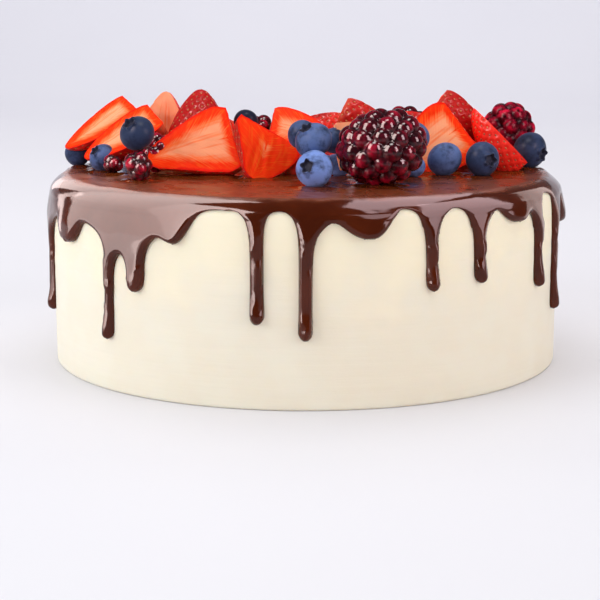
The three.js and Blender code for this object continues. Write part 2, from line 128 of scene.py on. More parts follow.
class Shader:
    """A material under construction: a Principled surface and the nodes that feed it."""

    def __init__(self, name: str, **sockets: object) -> None:
        """Starts a material.

        Args:
            name: the material's name.
            sockets: constants for the surface, with the spaces of their names as underscores.
        """
        self.material = bpy.data.materials.new(name)
        self.material.use_nodes = True
        self.tree = self.material.node_tree
        self.surface = self.tree.nodes["Principled BSDF"]
        for socket, value in sockets.items():
            self.surface.inputs[socket.replace("_", " ")].default_value = value

    def node(self, kind: str, inputs: Optional[dict] = None, **settings: object) -> bpy.types.Node:
        """Adds a node.

        Args:
            kind: the node's type, without the leading ShaderNode.
            inputs: what each input takes, a constant or another node's output.
            settings: the node's own settings.

        Returns:
            The node.
        """
        made = self.tree.nodes.new("ShaderNode" + kind)
        for name, value in settings.items():
            setattr(made, name, value)
        for name, value in (inputs or {}).items():
            self.feed(made.inputs[name], value)
        return made

    def feed(self, socket: bpy.types.NodeSocket, value: Feed) -> None:
        """Sets an input to a constant, or links it to another node's output.

        Args:
            socket: the input.
            value: the constant or the output.
        """
        if isinstance(value, Output):
            self.tree.links.new(value, socket)
        else:
            socket.default_value = value

    def place(self, stretch: Point = (1, 1, 1)) -> Output:
        """The point on the piece, stretched along its axes."""
        own = self.node("TexCoord").outputs["Object"]
        return self.node("Mapping", {"Vector": own, "Scale": stretch}).outputs["Vector"]

    def noise(self, scale: float, detail: float, vector: Optional[Output] = None,
              rough: float = 0.5) -> Output:
        """A soft noise.

        Args:
            scale: how many times it changes in a metre.
            detail: how many finer layers it has.
            vector: where it is read, by default the point on the piece.
            rough: how strong the finer layers are.

        Returns:
            The noise's value, about 0.5 on average.
        """
        inputs = {"Vector": vector or self.place(), "Scale": scale, "Detail": detail, "Roughness": rough}
        return self.node("TexNoise", inputs).outputs["Fac"]

    def spread(self, value: Feed, low: float, high: float) -> Output:
        """A value brought from low..high to 0..1, smoothly and held at both ends."""
        inputs = {"Value": value, "From Min": low, "From Max": high}
        return self.node("MapRange", inputs, interpolation_type="SMOOTHSTEP").outputs["Result"]

    def math(self, kind: str, first: Feed, second: Feed = 0.0) -> Output:
        """A sum, a product or another operation on two values.

        Args:
            kind: which operation.
            first: the first value.
            second: the second.

        Returns:
            The result.
        """
        made = self.node("Math", operation=kind)
        self.feed(made.inputs[0], first)
        self.feed(made.inputs[1], second)
        return made.outputs[0]

    def plus(self, first: Feed, second: Feed) -> Output:
        """The sum of two values."""
        return self.math("ADD", first, second)

    def times(self, first: Feed, second: Feed) -> Output:
        """The product of two values."""
        return self.math("MULTIPLY", first, second)

    def mix(self, share: Feed, first: Feed, second: Feed) -> Output:
        """A colour between two, each a colour or another node's output.

        Args:
            share: how far it is from the first to the second.
            first: the first colour.
            second: the second.

        Returns:
            The colour.
        """
        made = self.node("Mix", data_type="RGBA")
        self.feed(made.inputs["Factor"], share)
        for socket, color in ((made.inputs[6], first), (made.inputs[7], second)):
            self.feed(socket, (*color, 1.0) if isinstance(color, tuple) else color)
        return made.outputs[2]

    def see_into(self, weight: float, reach: Color, depth: float) -> None:
        """Lets light some way into the surface.

        Args:
            weight: how much of the light goes in.
            reach: how far its red, green and blue go, as shares of the depth.
            depth: how deep it goes, in millimetres.
        """
        for name, value in (("Weight", weight), ("Radius", reach), ("Scale", depth * MM)):
            self.surface.inputs["Subsurface " + name].default_value = value

    def part(self, vector: Output, axis: str) -> Output:
        """One of the three parts of a vector."""
        return self.node("SeparateXYZ", {"Vector": vector}).outputs[axis]

    def sway(self, noise: Output, width: float) -> Output:
        """A noise brought to swing round zero, over some width."""
        return self.times(self.math("SUBTRACT", noise, 0.5), width)

    def bump(self, height: Output, depth: float, strength: float, below: Optional[Output] = None) -> Output:
        """A bumpy normal.

        Args:
            height: the relief, 0 to 1.
            depth: how deep the relief is, in millimetres.
            strength: how much of it shows.
            below: another bumpy normal that it lies on.

        Returns:
            The normal.
        """
        inputs = {"Height": height, "Distance": depth * MM, "Strength": strength}
        if below:
            inputs["Normal"] = below
        return self.node("Bump", inputs).outputs["Normal"]

    def wear(self, name: str, output: str = "Fac") -> Output:
        """A value, or with output Vector a vector, kept on the mesh's own points."""
        return self.node("Attribute", attribute_name=name).outputs[output]

    def dress(self, **links: Output) -> bpy.types.Material:
        """Feeds the surface and ends the material.

        Args:
            links: outputs for the surface, with the spaces of the sockets' names as underscores.

        Returns:
            The finished material.
        """
        for socket, value in links.items():
            self.feed(self.surface.inputs[socket.replace("_", " ")], value)
        return self.material


@dataclass(frozen=True)
class CreamFinish:
    """Smoothed white buttercream: soft, a little warm, with the faint marks of the scraper.

    band, stroke, fleck: how many clouds, strokes and grains there are to a metre. stretch: how the
    strokes are drawn out round the cake. painted_glow_start, painted_glow_full: the heights between which
    the painted glow, for the light that the glaze throws on it, comes up, give or take the wander.
    """

    light: Color = (0.885, 0.806, 0.666)
    warm: Color = (0.877, 0.785, 0.638)
    glow: Color = (0.995, 0.868, 0.662)
    band: float = 55.0
    stroke: float = 275.0
    fleck: float = 900.0
    stretch: Point = (0.12, 0.12, 2.2)
    painted_glow_start: float = 0.028
    painted_glow_full: float = 0.066
    wander: float = 0.04

    def material(self) -> bpy.types.Material:
        """Makes the material.

        Returns:
            The material.
        """
        made = Shader("buttercream", Roughness=0.52, IOR=1.45, Specular_IOR_Level=0.15)
        made.see_into(0.25, (1.0, 0.75, 0.5), 3)
        clouds = made.noise(self.band, 2)
        strokes = made.noise(self.stroke, 4, made.place(self.stretch))
        grain = made.noise(self.fleck, 3)
        color = made.mix(made.spread(clouds, 0.35, 0.65), self.light, self.warm)
        height = made.part(made.place(), "Z")
        height = made.plus(height, made.sway(clouds, self.wander))
        # Painted glow: the cream is painted warmer towards the top, for the light that the glaze throws on
        # it.
        color = made.mix(made.spread(height, self.painted_glow_start, self.painted_glow_full), color, self.glow)
        normal = made.bump(strokes, 0.35, 0.35)
        normal = made.bump(grain, 0.08, 0.3, normal)
        return made.dress(Base_Color=color, Normal=normal)


@dataclass(frozen=True)
class GlazeFinish:
    """Dark chocolate glaze: nearly black in the shade, red-brown where it is lit, and glossy.

    level: the height of its flat top. edge: how far below it the top's painted lighter colour, for the light
    that falls on the flat top, starts and is full.
    wander: how far that boundary moves up and down. shine: how rough it is at least. clouding: how much
    rougher its clouds are. dullness: how much rougher the top is away from the fruit.
    """

    deep: Color = (0.055, 0.007, 0.0008)
    lit: Color = (0.080, 0.011, 0.0015)
    painted_lit_top: Color = (0.120, 0.023, 0.0045)
    level: float = 78 * MM
    edge: tuple[float, float] = (1.5 * MM, 0.2 * MM)
    wander: float = 2.4 * MM
    shine: float = 0.06
    clouding: float = 0.05
    dullness: float = 0.2

    def material(self) -> bpy.types.Material:
        """Makes the material.

        Returns:
            The material.
        """
        made = Shader("chocolate_glaze", IOR=1.33)
        made.see_into(0.1, (1.0, 0.3, 0.15), 2)
        color = made.mix(made.spread(made.noise(70, 3), 0.3, 0.7), self.deep, self.lit)
        height = made.part(made.place(), "Z")
        height = made.plus(height, made.sway(made.noise(90, 2), self.wander))
        flat = made.spread(height, self.level - self.edge[0], self.level - self.edge[1])
        # Painted light: the flat top is painted a lighter red-brown than the skirt, where more light falls
        # on it.
        color = made.mix(flat, color, self.painted_lit_top)
        rough = made.plus(made.times(made.noise(160, 2), self.clouding), self.shine)
        dull = made.times(flat, made.math("SUBTRACT", 1.0, made.wear("wet")))
        rough = made.plus(rough, made.times(dull, self.dullness))
        normal = made.bump(made.noise(120, 2), 0.4, 0.2)
        return made.dress(Base_Color=color, Roughness=rough, Normal=normal)


@dataclass(frozen=True)
class BlueberryFinish:
    """Dark blue skin under a waxy bloom that is rubbed off in places, and a dry crown.

    rubbed: how rough the bare skin is, and how rough the bloom.
    """

    skin: Color = (0.010, 0.014, 0.034)
    bloom: Color = (0.165, 0.26, 0.60)
    crown: Color = (0.03, 0.03, 0.055)
    rubbed: tuple[float, float] = (0.34, 0.6)

    def material(self) -> bpy.types.Material:
        """Makes the material.

        Returns:
            The material.
        """
        made = Shader("blueberry_skin", IOR=1.4, Specular_IOR_Level=0.13,
                      Sheen_Weight=0.05, Sheen_Roughness=0.5)
        patches = made.noise(170, 4, rough=0.6)
        specks = made.noise(1400, 2)
        cover = made.plus(made.spread(patches, 0.28, 0.62), made.times(specks, 0.25))
        kept = made.times(cover, made.wear("bloom"))
        color = made.mix(kept, self.skin, self.bloom)
        color = made.mix(made.wear("dry"), color, self.crown)
        low, high = self.rubbed
        rough = made.node("MapRange", {"Value": kept, "To Min": low, "To Max": high})
        normal = made.bump(specks, 0.05, 0.4)
        return made.dress(Base_Color=color, Roughness=rough.outputs["Result"], Normal=normal)


@dataclass(frozen=True)
class BrambleFinish:
    """Ripe drupelets: near-black red, painted with a red glow where each drupelet points outwards and
    painted shade in the creases between them.

    gloss: how strongly they mirror. shine: how rough they are. rubbed: how much rougher the reddest
    berry is.
    """

    dark: Color = (0.022, 0.0012, 0.004)
    glow: Color = (0.78, 0.010, 0.055)
    gloss: float = 0.5
    shine: float = 0.05
    rubbed: float = 0.2

    def material(self) -> bpy.types.Material:
        """Makes the material.

        Returns:
            The material.
        """
        made = Shader("bramble_drupelets", IOR=1.34, Specular_IOR_Level=self.gloss,
                      Coat_Weight=0.4 * self.gloss, Coat_Roughness=self.shine)
        made.see_into(0.3, (1.0, 0.12, 0.2), 2.5)
        # Painted glow and shade: each drupelet is painted red towards its outer pole and near-black in the
        # creases, where shade falls.
        ripeness_and_painted_glow = made.wear("ripeness_and_painted_glow")
        cloud = made.spread(made.noise(420, 2), 0.3, 0.75)
        color = made.mix(made.times(ripeness_and_painted_glow, cloud), self.dark, self.glow)
        juice = made.wear("juice")
        rough = made.plus(self.shine, made.times(juice, self.rubbed))
        return made.dress(Base_Color=color, Roughness=rough, Normal=made.bump(cloud, 0.1, 0.15))


@dataclass(frozen=True)
class SkinFinish:
    """Strawberry skin: glossy red, deeper in patches and paler by the hull.

    hull: how far along the fruit the paler end starts. shade: how deep the darkest fruit gets, which is
    partly painted shade.
    """

    red: Color = (0.74, 0.022, 0.012)
    deep: Color = (0.40, 0.007, 0.007)
    pale: Color = (0.80, 0.12, 0.05)
    bright: Color = (0.98, 0.030, 0.018)
    hull: float = 0.88
    shade: float = 0.85

    def material(self) -> bpy.types.Material:
        """Makes the material.

        Returns:
            The material.
        """
        made = Shader("strawberry_skin", Roughness=0.3, IOR=1.36, Specular_IOR_Level=0.3,
                      Coat_Weight=0.06, Coat_Roughness=0.12)
        made.see_into(0.2, (1.0, 0.15, 0.08), 2)
        patches = made.spread(made.noise(140, 3), 0.35, 0.7)
        color = made.mix(patches, self.red, self.deep)
        along = made.part(made.wear("cut", "Vector"), "Y")
        color = made.mix(made.spread(along, self.hull, 1.0), color, self.pale)
        # The fruit's tone, partly its own colour and partly painted light and shade: a positive tone paints
        # it brighter, a negative one deeper.
        tone_and_painted_light = made.wear("tone_and_painted_light")
        color = made.mix(made.spread(tone_and_painted_light, 0.0, 1.0), color, self.bright)
        darker = made.spread(made.times(tone_and_painted_light, -1.0), 0.0, 1.0)
        color = made.mix(made.times(darker, self.shade), color, self.deep)
        return made.dress(Base_Color=color, Normal=made.bump(made.noise(700, 2), 0.08, 0.25))


@dataclass(frozen=True)
class FleshFinish:
    """A strawberry's moist cut face: red rim, orange flesh with fine threads, and a pale heart.

    The other pairs say how many millimetres under the skin each colour starts and is full. wander and
    shift move them to and fro, by that many millimetres, in clouds and along the threads. tone: how
    far a fruit's tone, partly its own colour and partly painted light and shade, moves the two inner ones.
    """

    rim: Color = (0.85, 0.012, 0.004)
    flesh: Color = (0.96, 0.035, 0.004)
    streak: Color = (0.96, 0.13, 0.012)
    inner: Color = (0.96, 0.17, 0.05)
    heart: Color = (0.96, 0.36, 0.19)
    flesh_from: tuple[float, float] = (0.2, 1.3)
    rays_from: tuple[float, float] = (0.6, 2.2)
    inner_from: tuple[float, float] = (3.4, 5.6)
    heart_from: tuple[float, float] = (4.8, 8.5)
    stripes_from: tuple[float, float] = (3.5, 6.0)
    wander: float = 3.0
    shift: float = 5.0
    tone_and_painted_light: float = 3.0

    def material(self) -> bpy.types.Material:
        """Makes the material.

        Returns:
            The material.
        """
        made = Shader("strawberry_flesh", Roughness=0.42, IOR=1.33, Specular_IOR_Level=0.06)
        made.see_into(0.3, (1.0, 0.3, 0.15), 1.5)
        parts = made.node("SeparateXYZ", {"Vector": made.wear("cut", "Vector")}).outputs
        across, along, deep = parts["X"], parts["Y"], parts["Z"]
        side = made.math("ABSOLUTE", across)
        # Threads that fan out from the heart to the rim, and longer ones that follow the outline.
        slant = made.plus(made.times(along, 24), made.times(side, -9))
        fan = made.node("CombineXYZ", {"X": slant, "Y": side})
        threads = made.noise(1.6, 3, fan.outputs["Vector"])
        run = made.node("CombineXYZ", {"X": made.times(across, 7), "Y": along})
        stripes = made.noise(1.0, 3, run.outputs["Vector"])
        inside = made.plus(deep, made.sway(made.noise(190, 3), self.wander))
        shift = made.sway(threads, self.shift)
        color = made.mix(made.spread(inside, *self.flesh_from), self.rim, self.flesh)
        rays = made.times(made.spread(threads, 0.5, 0.68), made.spread(inside, *self.rays_from))
        color = made.mix(made.times(rays, 0.8), color, self.streak)
        # The fruit's tone, partly its own colour and partly painted light and shade, moves the inner
        # colours.
        tone_and_painted_light = made.times(made.wear("tone_and_painted_light"), self.tone_and_painted_light)
        reach = made.plus(made.plus(inside, shift), tone_and_painted_light)
        color = made.mix(made.spread(reach, *self.inner_from), color, self.inner)
        color = made.mix(made.spread(reach, *self.heart_from), color, self.heart)
        dark = made.times(made.spread(stripes, 0.5, 0.66), made.spread(deep, *self.stripes_from))
        color = made.mix(made.times(dark, 0.6), color, self.streak)
        normal = made.bump(threads, 0.3, 0.35)
        normal = made.bump(made.noise(900, 3), 0.12, 0.35, normal)
        return made.dress(Base_Color=color, Normal=normal)


@dataclass(frozen=True)
class SeedFinish:
    """Straw-yellow seeds with a browner side."""

    straw: Color = (0.58, 0.19, 0.045)
    brown: Color = (0.36, 0.06, 0.02)

    def material(self) -> bpy.types.Material:
        """Makes the material.

        Returns:
            The material.
        """
        made = Shader("strawberry_seed", Roughness=0.4)
        color = made.mix(made.spread(made.noise(500, 1), 0.4, 0.65), self.straw, self.brown)
        return made.dress(Base_Color=color)


@dataclass(frozen=True)
class FloorFinish:
    """A plain pale floor with the faintest unevenness."""

    pale: Color = (0.78, 0.77, 0.81)
    shade: Color = (0.75, 0.74, 0.785)

    def material(self) -> bpy.types.Material:
        """Makes the material.

        Returns:
            The material.
        """
        made = Shader("pale_floor", Roughness=0.6)
        return made.dress(Base_Color=made.mix(made.noise(4, 2), self.pale, self.shade))


def piece(name: str, points: np.ndarray, faces: Faces, materials: Sequence[bpy.types.Material],
          sharp: Optional[float] = None) -> bpy.types.Object:
    """Makes a smooth-shaded object.

    Args:
        name: the piece's name.
        points: its points, in millimetres.
        faces: its faces, as numbers of points.
        materials: its material slots.
        sharp: the angle, in degrees, over which an edge stays sharp, if any does.

    Returns:
        The object, linked to the scene.
    """
    mesh = bpy.data.meshes.new(name)
    mesh.from_pydata((points * MM).tolist(), [], faces)
    mesh.shade_smooth()
    if sharp:
        mesh.set_sharp_from_angle(angle=math.radians(sharp))
    for material in materials:
        mesh.materials.append(material)
    made = bpy.data.objects.new(name, mesh)
    bpy.context.scene.collection.objects.link(made)
    return made


def keep(made: bpy.types.Object, name: str, values: np.ndarray) -> None:
    """Keeps one number, or one vector, on each point of a piece.

    Args:
        made: the piece.
        name: what the number is.
        values: one row for each point.
    """
    kind, key = ("FLOAT_VECTOR", "vector") if values.ndim == 2 else ("FLOAT", "value")
    layer = made.data.attributes.new(name, kind, "POINT")
    layer.data.foreach_set(key, values.astype(np.float32).ravel())


def settle(made: bpy.types.Object, slot: Slot, *nodes: str) -> None:
    """Puts a finished piece in the place of its CAD nodes.

    Args:
        made: the piece.
        slot: the material slot of the piece; not used.
        nodes: the CAD nodes that it stands for.
    """
    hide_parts(*nodes)
    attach(made, ROOT)
    log.info("%s: %d points, %d faces", made.name, len(made.data.vertices), len(made.data.polygons))


def turn_to(up: Point, look: Point = (0.31, -0.9, 0.28)) -> np.ndarray:
    """The turn that points a fruit's own +Z along one way and its own -Y towards another.

    Args:
        up: where +Z goes.
        look: where -Y goes, as nearly as it can.

    Returns:
        The rotation matrix.
    """
    z = Vector(up).normalized()
    y = Vector(look)
    y = -(y - z * y.dot(z)).normalized()
    return np.array(Matrix((y.cross(z), y, z)).transposed())


def smooth_line(knots: Sequence[tuple[float, float]], count: int) -> np.ndarray:
    """A smooth line through some points, evenly spaced.

    Args:
        knots: the points, each a pair.
        count: how many points the line gets.

    Returns:
        The line's points, one row each.
    """
    given = np.array(knots, float)
    fine = 24
    ends = np.vstack([2 * given[0] - given[1], given, 2 * given[-1] - given[-2]])
    share = np.linspace(0, 1, fine, endpoint=False)[:, None]
    runs = []
    for a, b, c, d in zip(ends, ends[1:], ends[2:], ends[3:]):
        bend = 2 * b + (c - a) * share + (2 * a - 5 * b + 4 * c - d) * share ** 2
        runs.append(0.5 * (bend + (3 * b - 3 * c + d - a) * share ** 3))
    line = np.vstack([*runs, given[-1:]])
    steps = np.concatenate([[0], np.cumsum(np.linalg.norm(np.diff(line, axis=0), axis=1))])
    wanted = np.linspace(0, steps[-1], count)
    return np.column_stack([np.interp(wanted, steps, line[:, 0]), np.interp(wanted, steps, line[:, 1])])


def grid_faces(rows: int, columns: int, closed: bool) -> Faces:
    """The faces of a grid of points kept row by row, from point 0 on.

    Args:
        rows: how many rows of points.
        columns: how many points in a row.
        closed: whether each row closes on itself.

    Returns:
        The faces.
    """
    faces = []
    for row in range(rows - 1):
        for column in range(columns if closed else columns - 1):
            a = row * columns + column
            b = row * columns + (column + 1) % columns
            faces.append((a, b, b + columns, a + columns))
    return faces


@dataclass
class Cream:
    """The uncut cake in its smoothed buttercream.

    foot: the radius of the edge at its base. unevenness: how deep the scraper's marks are. inset, strokes:
    how far the side lies in on average, and how strong the fine strokes are, as shares of that.
    """

    radius: float = 106.0
    height: float = 75.0
    corner: float = 4.0
    foot: float = 1.2
    columns: int = 288
    unevenness: float = 0.09
    inset: float = 1.2
    strokes: float = 0.8

    def profile(self) -> np.ndarray:
        """The side from the base's middle to the top's middle, as pairs of radius and height.

        Returns:
            The pairs, in order.
        """
        line = [(r, 0.0) for r in np.linspace(0, self.radius - self.foot, 12)]
        line += [(self.radius - self.foot * (1 - math.sin(t)), self.foot * (1 - math.cos(t)))
                 for t in np.linspace(0.3, math.pi / 2, 5)]
        line += [(self.radius, z) for z in np.linspace(self.foot, self.height - self.corner, 70)[1:]]
        line += [(self.radius - self.corner * (1 - math.cos(t)),
                  self.height - self.corner * (1 - math.sin(t)))
                 for t in np.linspace(0, math.pi / 2, 9)[1:]]
        line += [(r, self.height) for r in np.linspace(self.radius - self.corner, 0, 12)[1:]]
        return np.array(line)

    def build(self) -> bpy.types.Object:
        """Makes the cake.

        Returns:
            The piece.
        """
        line = self.profile()
        turns = np.linspace(0, 2 * math.pi, self.columns, endpoint=False)
        inner = line[1:-1]
        radius = np.repeat(inner[:, 0], self.columns)
        height = np.repeat(inner[:, 1], self.columns)
        around = np.tile(turns, len(inner))
        points = np.column_stack([radius * np.sin(around), -radius * np.cos(around), height])
        side = np.clip((radius - self.radius + self.foot) / self.foot, 0, 1)
        slow = Wave(3, 60).at(points)
        strokes = Wave(4, 9).at(points * (0.08, 0.08, 1))
        push = -self.unevenness * side * (self.inset + slow + self.strokes * strokes)
        points[:, 0] += push * np.sin(around)
        points[:, 1] -= push * np.cos(around)
        count = len(points)
        points = np.vstack([points, (0, 0, 0), (0, 0, self.height)])
        faces = grid_faces(len(inner), self.columns, True)
        last = count - self.columns
        for i in range(self.columns):
            after = (i + 1) % self.columns
            faces.append((count, after, i))
            faces.append((count + 1, last + i, last + after))
        return piece("buttercream_cake", points, faces, [CreamFinish().material()])


class End(Enum):
    """How a run of glaze ends, as the length of its end in half-widths."""

    DROP = 1.15
    BLUNT = 0.56


@dataclass(frozen=True)
class Run:
    """A drip or a blunt tongue of the glaze.

    angle: where it hangs, in degrees. low: the height of its lowest point. width: how wide it is.
    swell: how much wider its end is. lean: how far its end hangs to the right. left: how fast the
    skirt's edge falls towards it on its left, where that isn't what its arch gives. rises: how a blunt
    tongue's edge rises to the arch on its left and on its right, each as how flat it starts and how soon
    it arrives, two powers.
    """

    angle: float
    low: float
    width: float
    end: End = End.DROP
    swell: float = 1.2
    lean: float = 0.0
    left: Optional[float] = None
    rises: tuple[tuple[float, float], tuple[float, float]] = ((2.3, 1.9), (2.3, 1.9))

    @property
    def end_radius(self) -> float:
        """Half the width of the end."""
        return self.width * (self.swell if self.end is End.DROP else 1.0) / 2

    @property
    def end_height(self) -> float:
        """The height at which the end is widest."""
        return self.low + self.end.value * self.end_radius


@dataclass(frozen=True)
class Flare:
    """The skirt's edge between a run and the arch beside it, which falls ever faster to the run.

    top: the arch's reach. wide: how far the arch's middle is from the run's side. flow: how far the
    edge falls while its way to the run's side shrinks to a third.
    """

    top: float
    wide: float
    flow: float

    @property
    def bend(self) -> float:
        """How much the arch's round middle takes up of the way to the run."""
        return self.wide / (math.sqrt(self.wide ** 2 + 1) - 1)

    def fall(self, off: np.ndarray) -> np.ndarray:
        """The edge's reach at some distances from the run's side.

        Args:
            off: the distances.

        Returns:
            One reach each.
        """
        middle = self.wide - np.clip(off, 0, self.wide)
        near = self.wide - self.bend * (np.sqrt(middle ** 2 + 1) - 1)
        return self.top - self.flow * np.log(np.maximum(near, 0.004 * self.wide) / self.wide)

    def spread(self, reach: np.ndarray) -> np.ndarray:
        """How far from the run's side the edge is at some reaches."""
        near = self.wide * np.exp(-np.maximum(reach - self.top, 0) / self.flow)
        return self.wide - np.sqrt(np.maximum(((self.wide - near) / self.bend + 1) ** 2 - 1, 0))


BLUNT = End.BLUNT

# The runs in order round the cake: angle, lowest point and width, and what else is a run's own.
RUNS = [
    Run(-80, 21.5, 4.8),
    Run(-59.4, 55.4, 11.3, BLUNT, rises=((4, 1.9), (2.2, 2.1))),
    Run(-44.6, 20.9, 4.7, swell=1.3, lean=-1.3, left=2.5),
    Run(-36.9, 41, 7.2, swell=1.1),
    Run(-27, 60.6, 6.4, BLUNT, rises=((2, 1.9), (2, 7))),
    Run(-9.75, 32.4, 5.1, swell=1.1),
    Run(-0.1, 26.6, 5.1, swell=1.07, lean=-0.1),
    Run(12.6, 63.7, 10, BLUNT, rises=((2.4, 1.9), (2.4, 1.9))),
    Run(25.4, 43.1, 4.5, swell=1.28, lean=1.3),
    Run(37.2, 44.2, 4.7, swell=1.32, lean=1.6),
    Run(49.9, 65.4, 9.4, BLUNT, rises=((2.9, 1.9), (1.8, 1.6))),
    Run(58.2, 37.6, 4.7, swell=1.38, lean=2.0),
    Run(70.2, 24.9, 4.2, swell=1.45, lean=1.5),
    Run(86, 57, 9, BLUNT),
    Run(98, 36, 5.2),
    Run(108, 59, 11, BLUNT),
    Run(119, 27, 5.4),
    Run(129, 46, 5),
    Run(139, 61, 10, BLUNT),
    Run(149, 33, 5.4),
    Run(161, 24, 5.2),
    Run(171, 52, 5.6),
    Run(182, 38, 5),
    Run(193, 63, 11, BLUNT),
    Run(203, 29, 5.4),
    Run(213, 47, 5),
    Run(224, 22, 5.6),
    Run(234, 60, 10, BLUNT),
    Run(244, 36, 5.2),
    Run(255, 50, 5.4),
    Run(267, 30, 5),
]

# The tops of the arches between the runs, one after each: angle and height.
ARCHES = [
    (-66.6, 64), (-52.6, 64.4), (-40.6, 54.6), (-30.7, 62.4), (-15, 74.4), (-5.3, 74.4),
    (5.3, 69.6), (19.6, 74.6), (31.1, 73.8), (42.3, 70.8), (53.6, 68), (62.8, 74.6),
    (78, 70), (92, 68), (102, 71), (114, 70), (124, 66), (133.5, 72),
    (144, 70), (155, 73), (166, 67), (176.5, 73), (187, 71), (198, 74),
    (208, 66), (218.5, 72), (229, 69), (239, 73), (249.5, 68), (261, 72),
    (274, 66),
]


def low_points(made: bpy.types.Object, height: float) -> list[Vector]:
    """The points of a piece under a height, in metres."""
    return [vertex.co for vertex in made.data.vertices if vertex.co.z < height]


def turned_from(angles: Values, angle: Values) -> Values:
    """How many degrees each angle is to the right of another, from -180 to 180."""
    return (angles - angle + 180) % 360 - 180


class Trace:
    """The glaze's outline, traced through a grid that is laid out round the cake.

    margin: how far inside the outline each point of the grid is, negative outside. across, down: the
    angle and reach of each. inside: which of them the glaze covers. number: the number of each of
    those. spots: the angle and reach of every point of the skirt, first the grid's own and then those
    where the outline crosses the grid's lines. on_edge: which of them lie on the outline. faces: the
    skirt's faces. outline: the outline's pieces, each as two points.
    """

    def __init__(self, margin: np.ndarray, angles: np.ndarray, reaches: np.ndarray,
                 step: float, degree: float) -> None:
        """Lays out the grid and traces the outline through it.

        Args:
            margin: how far inside the outline each point is.
            angles: the columns' angles.
            reaches: the rows' reaches.
            step: the size of the grid's cells.
            degree: how far one degree round the cake is.
        """
        self.margin = margin
        self.across = np.tile(angles, (len(reaches), 1))
        self.down = np.tile(reaches[:, None], (1, len(angles)))
        self.snap(step, degree)
        self.inside = margin >= 0
        self.number = np.full(margin.shape, -1)
        self.number[self.inside] = np.arange(self.inside.sum())
        self.places = [list(pair) for pair in zip(self.across[self.inside], self.down[self.inside])]
        self.on_line = (margin[self.inside] == 0).tolist()
        self.crossings: dict[tuple[int, int, int, int], int] = {}
        self.faces: Faces = []
        self.outline: list[tuple[int, int]] = []
        self.follow()
        self.spots, self.on_edge = np.array(self.places), np.array(self.on_line)

    def snap(self, step: float, degree: float, share: float = 0.3) -> None:
        """Moves points close to the outline onto it, so that no sliver is left beside it.

        Args:
            step: the size of the grid's cells.
            degree: how far one degree round the cake is.
            share: how close they are, as a share of a cell.
        """
        slope_down = np.gradient(self.margin, step, axis=0)
        slope_across = (np.roll(self.margin, -1, 1) - np.roll(self.margin, 1, 1)) / (2 * step)
        least_steep = 0.25
        steep = np.maximum(slope_down ** 2 + slope_across ** 2, least_steep)
        close = np.abs(self.margin) < share * step
        self.down[close] -= (self.margin * slope_down / steep)[close]
        self.across[close] -= (self.margin * slope_across / steep)[close] / degree
        self.margin[close] = 0

    def follow(self) -> None:
        """Makes the skirt's faces: whole cells inside the outline, and what it leaves of the others."""
        full = self.inside[:-1, :] & self.inside[1:, :]
        full = full & np.roll(full, -1, 1)
        some = self.inside[:-1, :] | self.inside[1:, :]
        some = (some | np.roll(some, -1, 1)) & ~full
        for i, j in zip(*np.nonzero(full)):
            self.faces.append(tuple(self.number[corner] for corner in self.ring(i, j)))
        for i, j in zip(*np.nonzero(some)):
            self.cut(self.ring(i, j))

    def ring(self, i: int, j: int) -> list[tuple[int, int]]:
        """The four corners of a cell, as rows and columns."""
        k = (j + 1) % self.margin.shape[1]
        return [(i, j), (i + 1, j), (i + 1, k), (i, k)]

    def cut(self, ring: list[tuple[int, int]]) -> None:
        """Adds what the outline leaves of a cell.

        Args:
            ring: the cell's corners.
        """
        polygon = []
        for here, there in zip(ring, ring[1:] + ring[:1]):
            if self.inside[here]:
                polygon.append(int(self.number[here]))
            if self.margin[here] * self.margin[there] < 0:
                polygon.append(self.crossing(here, there))
        if len(polygon) < 3:
            return
        self.faces.append(tuple(polygon))
        for a, b in zip(polygon, polygon[1:] + polygon[:1]):
            if self.on_line[a] and self.on_line[b]:
                self.outline.append((a, b))

    def crossing(self, here: tuple[int, int], there: tuple[int, int]) -> int:
        """Finds the point where the outline crosses between two corners.

        Args:
            here: one corner.
            there: the next corner.

        Returns:
            The number of a new point, or of one made before.
        """
        key = (*min(here, there), *max(here, there))
        if key not in self.crossings:
            share = self.margin[here] / (self.margin[here] - self.margin[there])
            gap = turned_from(self.across[there], self.across[here])
            self.crossings[key] = len(self.places)
            self.places.append([self.across[here] + share * gap,
                                self.down[here] + share * (self.down[there] - self.down[here])])
            self.on_line.append(True)
        return self.crossings[key]


